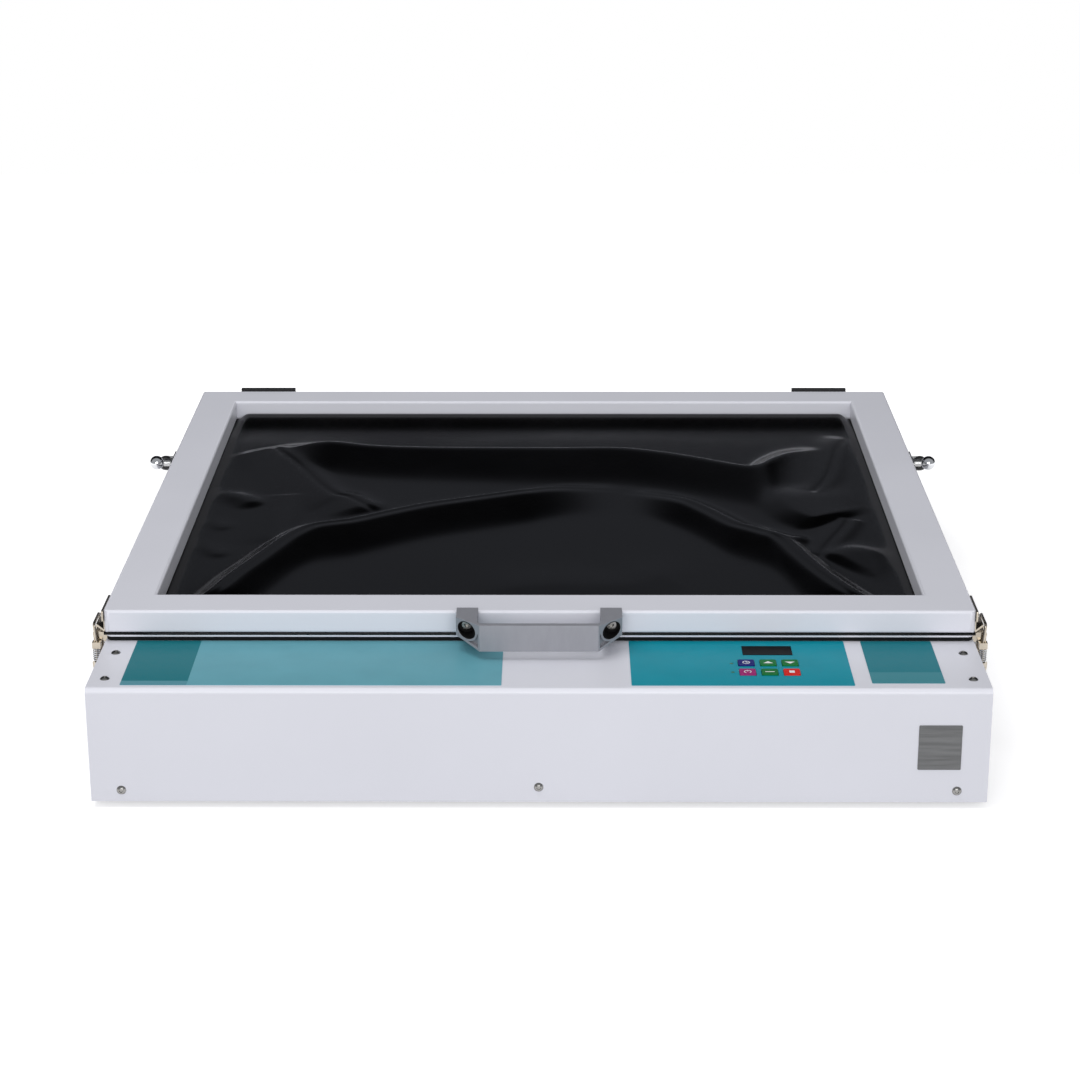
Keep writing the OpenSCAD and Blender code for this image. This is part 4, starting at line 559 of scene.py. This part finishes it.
def make_blanket(mats):
    low, high = BLANKET
    half = high.x * 1000
    depth = (high.y - low.y) * 1000
    window = half - TUBE_W
    spare = 0.6
    top = (high.z - low.z - BLANKET_T) * 1000 - spare
    columns, rows = 300, 270
    across = np.concatenate([[-half], np.linspace(-window, window, columns), [half]])
    along = np.concatenate([[0], np.linspace(TUBE_W, depth - TUBE_W, rows), [depth]])
    u, v = np.meshgrid(across, along)
    height = fold_height(u, v, window, depth, top)
    points = np.stack([u * MM, LID_Y + v * MM, low.z + BLANKET_T + height * MM], -1).reshape(-1, 3)
    obj = mesh_object("blanket_sheet", points.tolist(), grid_faces(len(across), len(along)),
                      mats["rubber"], True)
    thick = obj.modifiers.new("thickness", "SOLIDIFY")
    thick.thickness = BLANKET_T
    thick.offset = -1
    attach(obj, "lid")
    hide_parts("rubber_blanket")


def flat_piece(name, outlines, z, thick, mat, body, at):
    """Thin raised print made of convex outlines in mm."""
    verts, faces = [], []
    for outline in outlines:
        start = len(verts)
        n = len(outline)
        for level in (z, z + thick):
            verts += [(at[0] + x * MM, at[1] + y * MM, level) for x, y in outline]
        faces.append(tuple(start + n + i for i in range(n)))
        faces.append(tuple(start + i for i in reversed(range(n))))
        faces += [(start + i, start + (i + 1) % n, start + n + (i + 1) % n, start + n + i)
                  for i in range(n)]
    obj = mesh_object(name, verts, faces, mat)
    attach(obj, body)


def ring_outline(radius, width, start, stop, steps):
    """Convex quads along an arc."""
    quads = []
    for i in range(steps):
        a = math.radians(start + (stop - start) * i / steps)
        b = math.radians(start + (stop - start) * (i + 1) / steps)
        quads.append([(radius * math.cos(a), radius * math.sin(a)),
                      ((radius + width) * math.cos(a), (radius + width) * math.sin(a)),
                      ((radius + width) * math.cos(b), (radius + width) * math.sin(b)),
                      (radius * math.cos(b), radius * math.sin(b))])
    return quads


def make_glyphs(mats):
    """Plain signs on the keys: arrows, a clock, a switch ring, a bar and a stop square."""
    marks = {
        "key_up": [[(-4, -1.6), (4, -1.6), (0, 2.6)]],
        "key_down": [[(-4, 1.6), (0, -2.6), (4, 1.6)]],
        "key_timer": ring_outline(2.4, 0.7, 0, 360, 20) + [
            [(-0.35, 0), (0.35, 0), (0.35, 2.2), (-0.35, 2.2)],
            [(0, -0.35), (1.6, -0.35), (1.6, 0.35), (0, 0.35)]],
        "key_vacuum": ring_outline(2.4, 0.7, -60, 240, 18) + [
            [(-0.35, 0.6), (0.35, 0.6), (0.35, 3.4), (-0.35, 3.4)]],
        "key_set": [[(-3.8, -0.6), (3.8, -0.6), (3.8, 0.6), (-3.8, 0.6)]],
        "key_stop": [[(-2.2, -2.2), (2.2, -2.2), (2.2, 2.2), (-2.2, 2.2)]],
    }
    for name, outlines in marks.items():
        low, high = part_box(name)
        at = ((low.x + high.x) / 2, (low.y + high.y) / 2)
        sunk, thick = 0.02 * MM, 0.08 * MM
        flat_piece(name + "_mark", outlines, high.z - sunk, thick, mats["glyph"], name, at)


def make_recess_shade_cups(mats):
    """Black cups around the two screw heads, lining the handle's recesses up to its slanted faces:
    painted shade, dark sheets that darken the recesses where there is only shade.
    """
    low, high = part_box("handle_screws")
    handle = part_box("lid_handle")
    screw_r, hole_r, inner_r, outer_r = 4.25 * MM, 4.4 * MM, 6.7 * MM, 7.35 * MM
    seat, head_top, below_face = 13 * MM, 17.6 * MM, 0.5 * MM
    slant_start = 22 * MM
    middle_z = (low.z + high.z) / 2
    face = (handle[1].x - handle[0].x) / 2 + slant_start
    steps = 48
    for name, x in (("left", low.x + screw_r), ("right", high.x - screw_r)):
        verts = []
        for k in range(steps):
            turn = 2 * math.pi * k / steps
            rim = face - abs(x + outer_r * math.cos(turn)) - below_face
            profile = [(outer_r, seat), (outer_r, rim), (inner_r, rim), (inner_r, head_top),
                       (hole_r, head_top), (hole_r, seat)]
            verts += [(x + r * math.cos(turn), LID_Y - depth, middle_z + r * math.sin(turn))
                      for r, depth in profile]
        n = len(profile)
        faces = [(k * n + i, (k + 1) % steps * n + i, (k + 1) % steps * n + (i + 1) % n,
                  k * n + (i + 1) % n) for k in range(steps) for i in range(n)]
        # The black cups paint the shade inside the handle's recesses.
        cup = mesh_object("handle_recess_shade_cup_" + name, verts, faces, mats["foam"])
        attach(cup, "lid")


def seen_rays(tree, x, y, with_gloss):
    """One for rays from the camera or through glass, and with_gloss also for glossy rays."""
    path = new_node(tree, "ShaderNodeLightPath", x, y)
    others = ["Is Transmission Ray", "Is Glossy Ray"] if with_gloss else ["Is Transmission Ray"]
    total = path.outputs["Is Camera Ray"]
    for name in others:
        most = new_node(tree, "ShaderNodeMath", x + 200, y, operation="MAXIMUM")
        tree.links.new(total, most.inputs[0])
        tree.links.new(path.outputs[name], most.inputs[1])
        total = most.outputs[0]
    return total


def make_stage():
    """A white floor that keeps the object's shadow and turns plain white further out."""
    glow_near, glow_far = 0.4, 1.3
    near, far = 0.45, 0.85
    mat = bpy.data.materials.new("white_floor")
    mat.use_nodes = True
    tree = mat.node_tree
    tree.nodes.clear()
    out = new_node(tree, "ShaderNodeOutputMaterial", 600, 0)
    diffuse = new_node(tree, "ShaderNodeBsdfDiffuse", 0, 0)
    seen = seen_rays(tree, -800, -300, True)
    tree.links.new(blend_colors(tree, seen, (0.42, 0.42, 0.425), (0.85, 0.85, 0.86), 0),
                   diffuse.inputs["Color"])
    glow = new_node(tree, "ShaderNodeEmission", 0, -150)
    glow.inputs["Color"].default_value = (1, 1, 1, 1)
    place = new_node(tree, "ShaderNodeTexCoord", -1400, -600)
    away = new_node(tree, "ShaderNodeVectorMath", -1200, -600, operation="LENGTH")
    tree.links.new(place.outputs["Object"], away.inputs[0])
    share = ramp(tree, away.outputs["Value"], near, far, glow_near, glow_far, -600)
    share.node.interpolation_type = "SMOOTHSTEP"
    extra = new_node(tree, "ShaderNodeMath", -200, -300, operation="MULTIPLY")
    tree.links.new(share, extra.inputs[1])
    tree.links.new(seen, extra.inputs[0])
    tree.links.new(extra.outputs[0], glow.inputs["Strength"])
    both = new_node(tree, "ShaderNodeAddShader", 300, 0)
    tree.links.new(diffuse.outputs[0], both.inputs[0])
    tree.links.new(glow.outputs[0], both.inputs[1])
    tree.links.new(both.outputs[0], out.inputs["Surface"])
    half = 2.2
    floor = mesh_object("floor", [(-half, -half, 0), (half, -half, 0), (half, half, 0), (-half, half, 0)],
                        [(0, 1, 2, 3)], mat)


def make_world():
    """White behind the object and a studio whose light comes mostly from the front. For the
    gloss, the studio is white along the horizon, grey above it and dark higher up and to the
    sides, except on the camera's side."""
    world = bpy.data.worlds.new("studio")
    scene.world = world
    world.cycles.sampling_method = "NONE"
    world.use_nodes = True
    tree = world.node_tree
    back = tree.nodes["Background"]
    source = new_node(tree, "ShaderNodeTexCoord", -1800, 0)
    split = new_node(tree, "ShaderNodeSeparateXYZ", -1600, 0)
    tree.links.new(source.outputs["Generated"], split.inputs["Vector"])
    frontal = ramp(tree, split.outputs["Y"], 0.84, 0.2, -1.0, 1.0, -100)
    frontal.node.location = (-900, -100)
    stops = [(0.0, 1.0), (0.02, 0.3), (0.05, 0.12), (0.14, 0.11), (0.3, 0.13), (0.41, 0.17),
             (0.48, 0.07), (0.56, 0.012), (1.0, 0.012)]
    band = new_node(tree, "ShaderNodeValToRGB", -900, -400)
    while len(band.color_ramp.elements) < len(stops):
        band.color_ramp.elements.new(0.5)
    for element, (place, level) in zip(band.color_ramp.elements, stops):
        element.position = place
        element.color = (level * 0.83, level * 0.87, level * 1.0, 1)
    tree.links.new(split.outputs["Z"], band.inputs["Fac"])
    across = new_node(tree, "ShaderNodeMath", -1300, -700, operation="ABSOLUTE")
    tree.links.new(split.outputs["X"], across.inputs[0])
    wings = ramp(tree, across.outputs[0], 1.0, 0.08, 0.12, 0.34, -700)
    wings.node.interpolation_type = "SMOOTHSTEP"
    sides = new_node(tree, "ShaderNodeVectorMath", -600, -500, operation="SCALE")
    tree.links.new(band.outputs["Color"], sides.inputs[0])
    tree.links.new(wings, sides.inputs["Scale"])
    ahead = ramp(tree, split.outputs["Y"], 1.0, 0.0, -0.1, 0.3, -900)
    ahead.node.interpolation_type = "SMOOTHSTEP"
    gloss = blend_colors(tree, ahead, sides.outputs[0], (0.4, 0.41, 0.425), -500)
    path = new_node(tree, "ShaderNodeLightPath", -600, 400)
    glossy = blend_colors(tree, path.outputs["Is Glossy Ray"], frontal, gloss, 0)
    glossy.node.location = (-200, 0)
    level = blend_colors(tree, seen_rays(tree, -600, 700, False), glossy, (1, 1, 1), 200)
    level.node.location = (0, 200)
    tree.links.new(level, back.inputs["Color"])


def area_light(name, place, size_x, size_y, power):
    """A rectangular lamp in metres and watts, turned to the middle of the object."""
    middle = Vector((0, 0, 0.1))
    data = bpy.data.lights.new(name, "AREA")
    data.energy = power
    data.shape = "RECTANGLE"
    data.size = size_x
    data.size_y = size_y
    obj = link(bpy.data.objects.new(name, data))
    obj.location = place
    aim = middle - Vector(place)
    obj.rotation_mode = "QUATERNION"
    obj.rotation_quaternion = aim.to_track_quat("-Z", "Y")
    return obj


def make_lights():
    area_light("front_soft", (0.1, -3.4, 1.2), 2.6, 1.6, 49.5)
    top = area_light("top_soft", (-0.8, -0.5, 2.7), 1.6, 1.6, 24)
    top.visible_glossy = False


set_camera()
MATS = make_materials()
paint_nodes(MATS)
make_blanket(MATS)
make_glyphs(MATS)
make_recess_shade_cups(MATS)
make_stage()
make_world()
make_lights()
scene.view_settings.view_transform = "Standard"
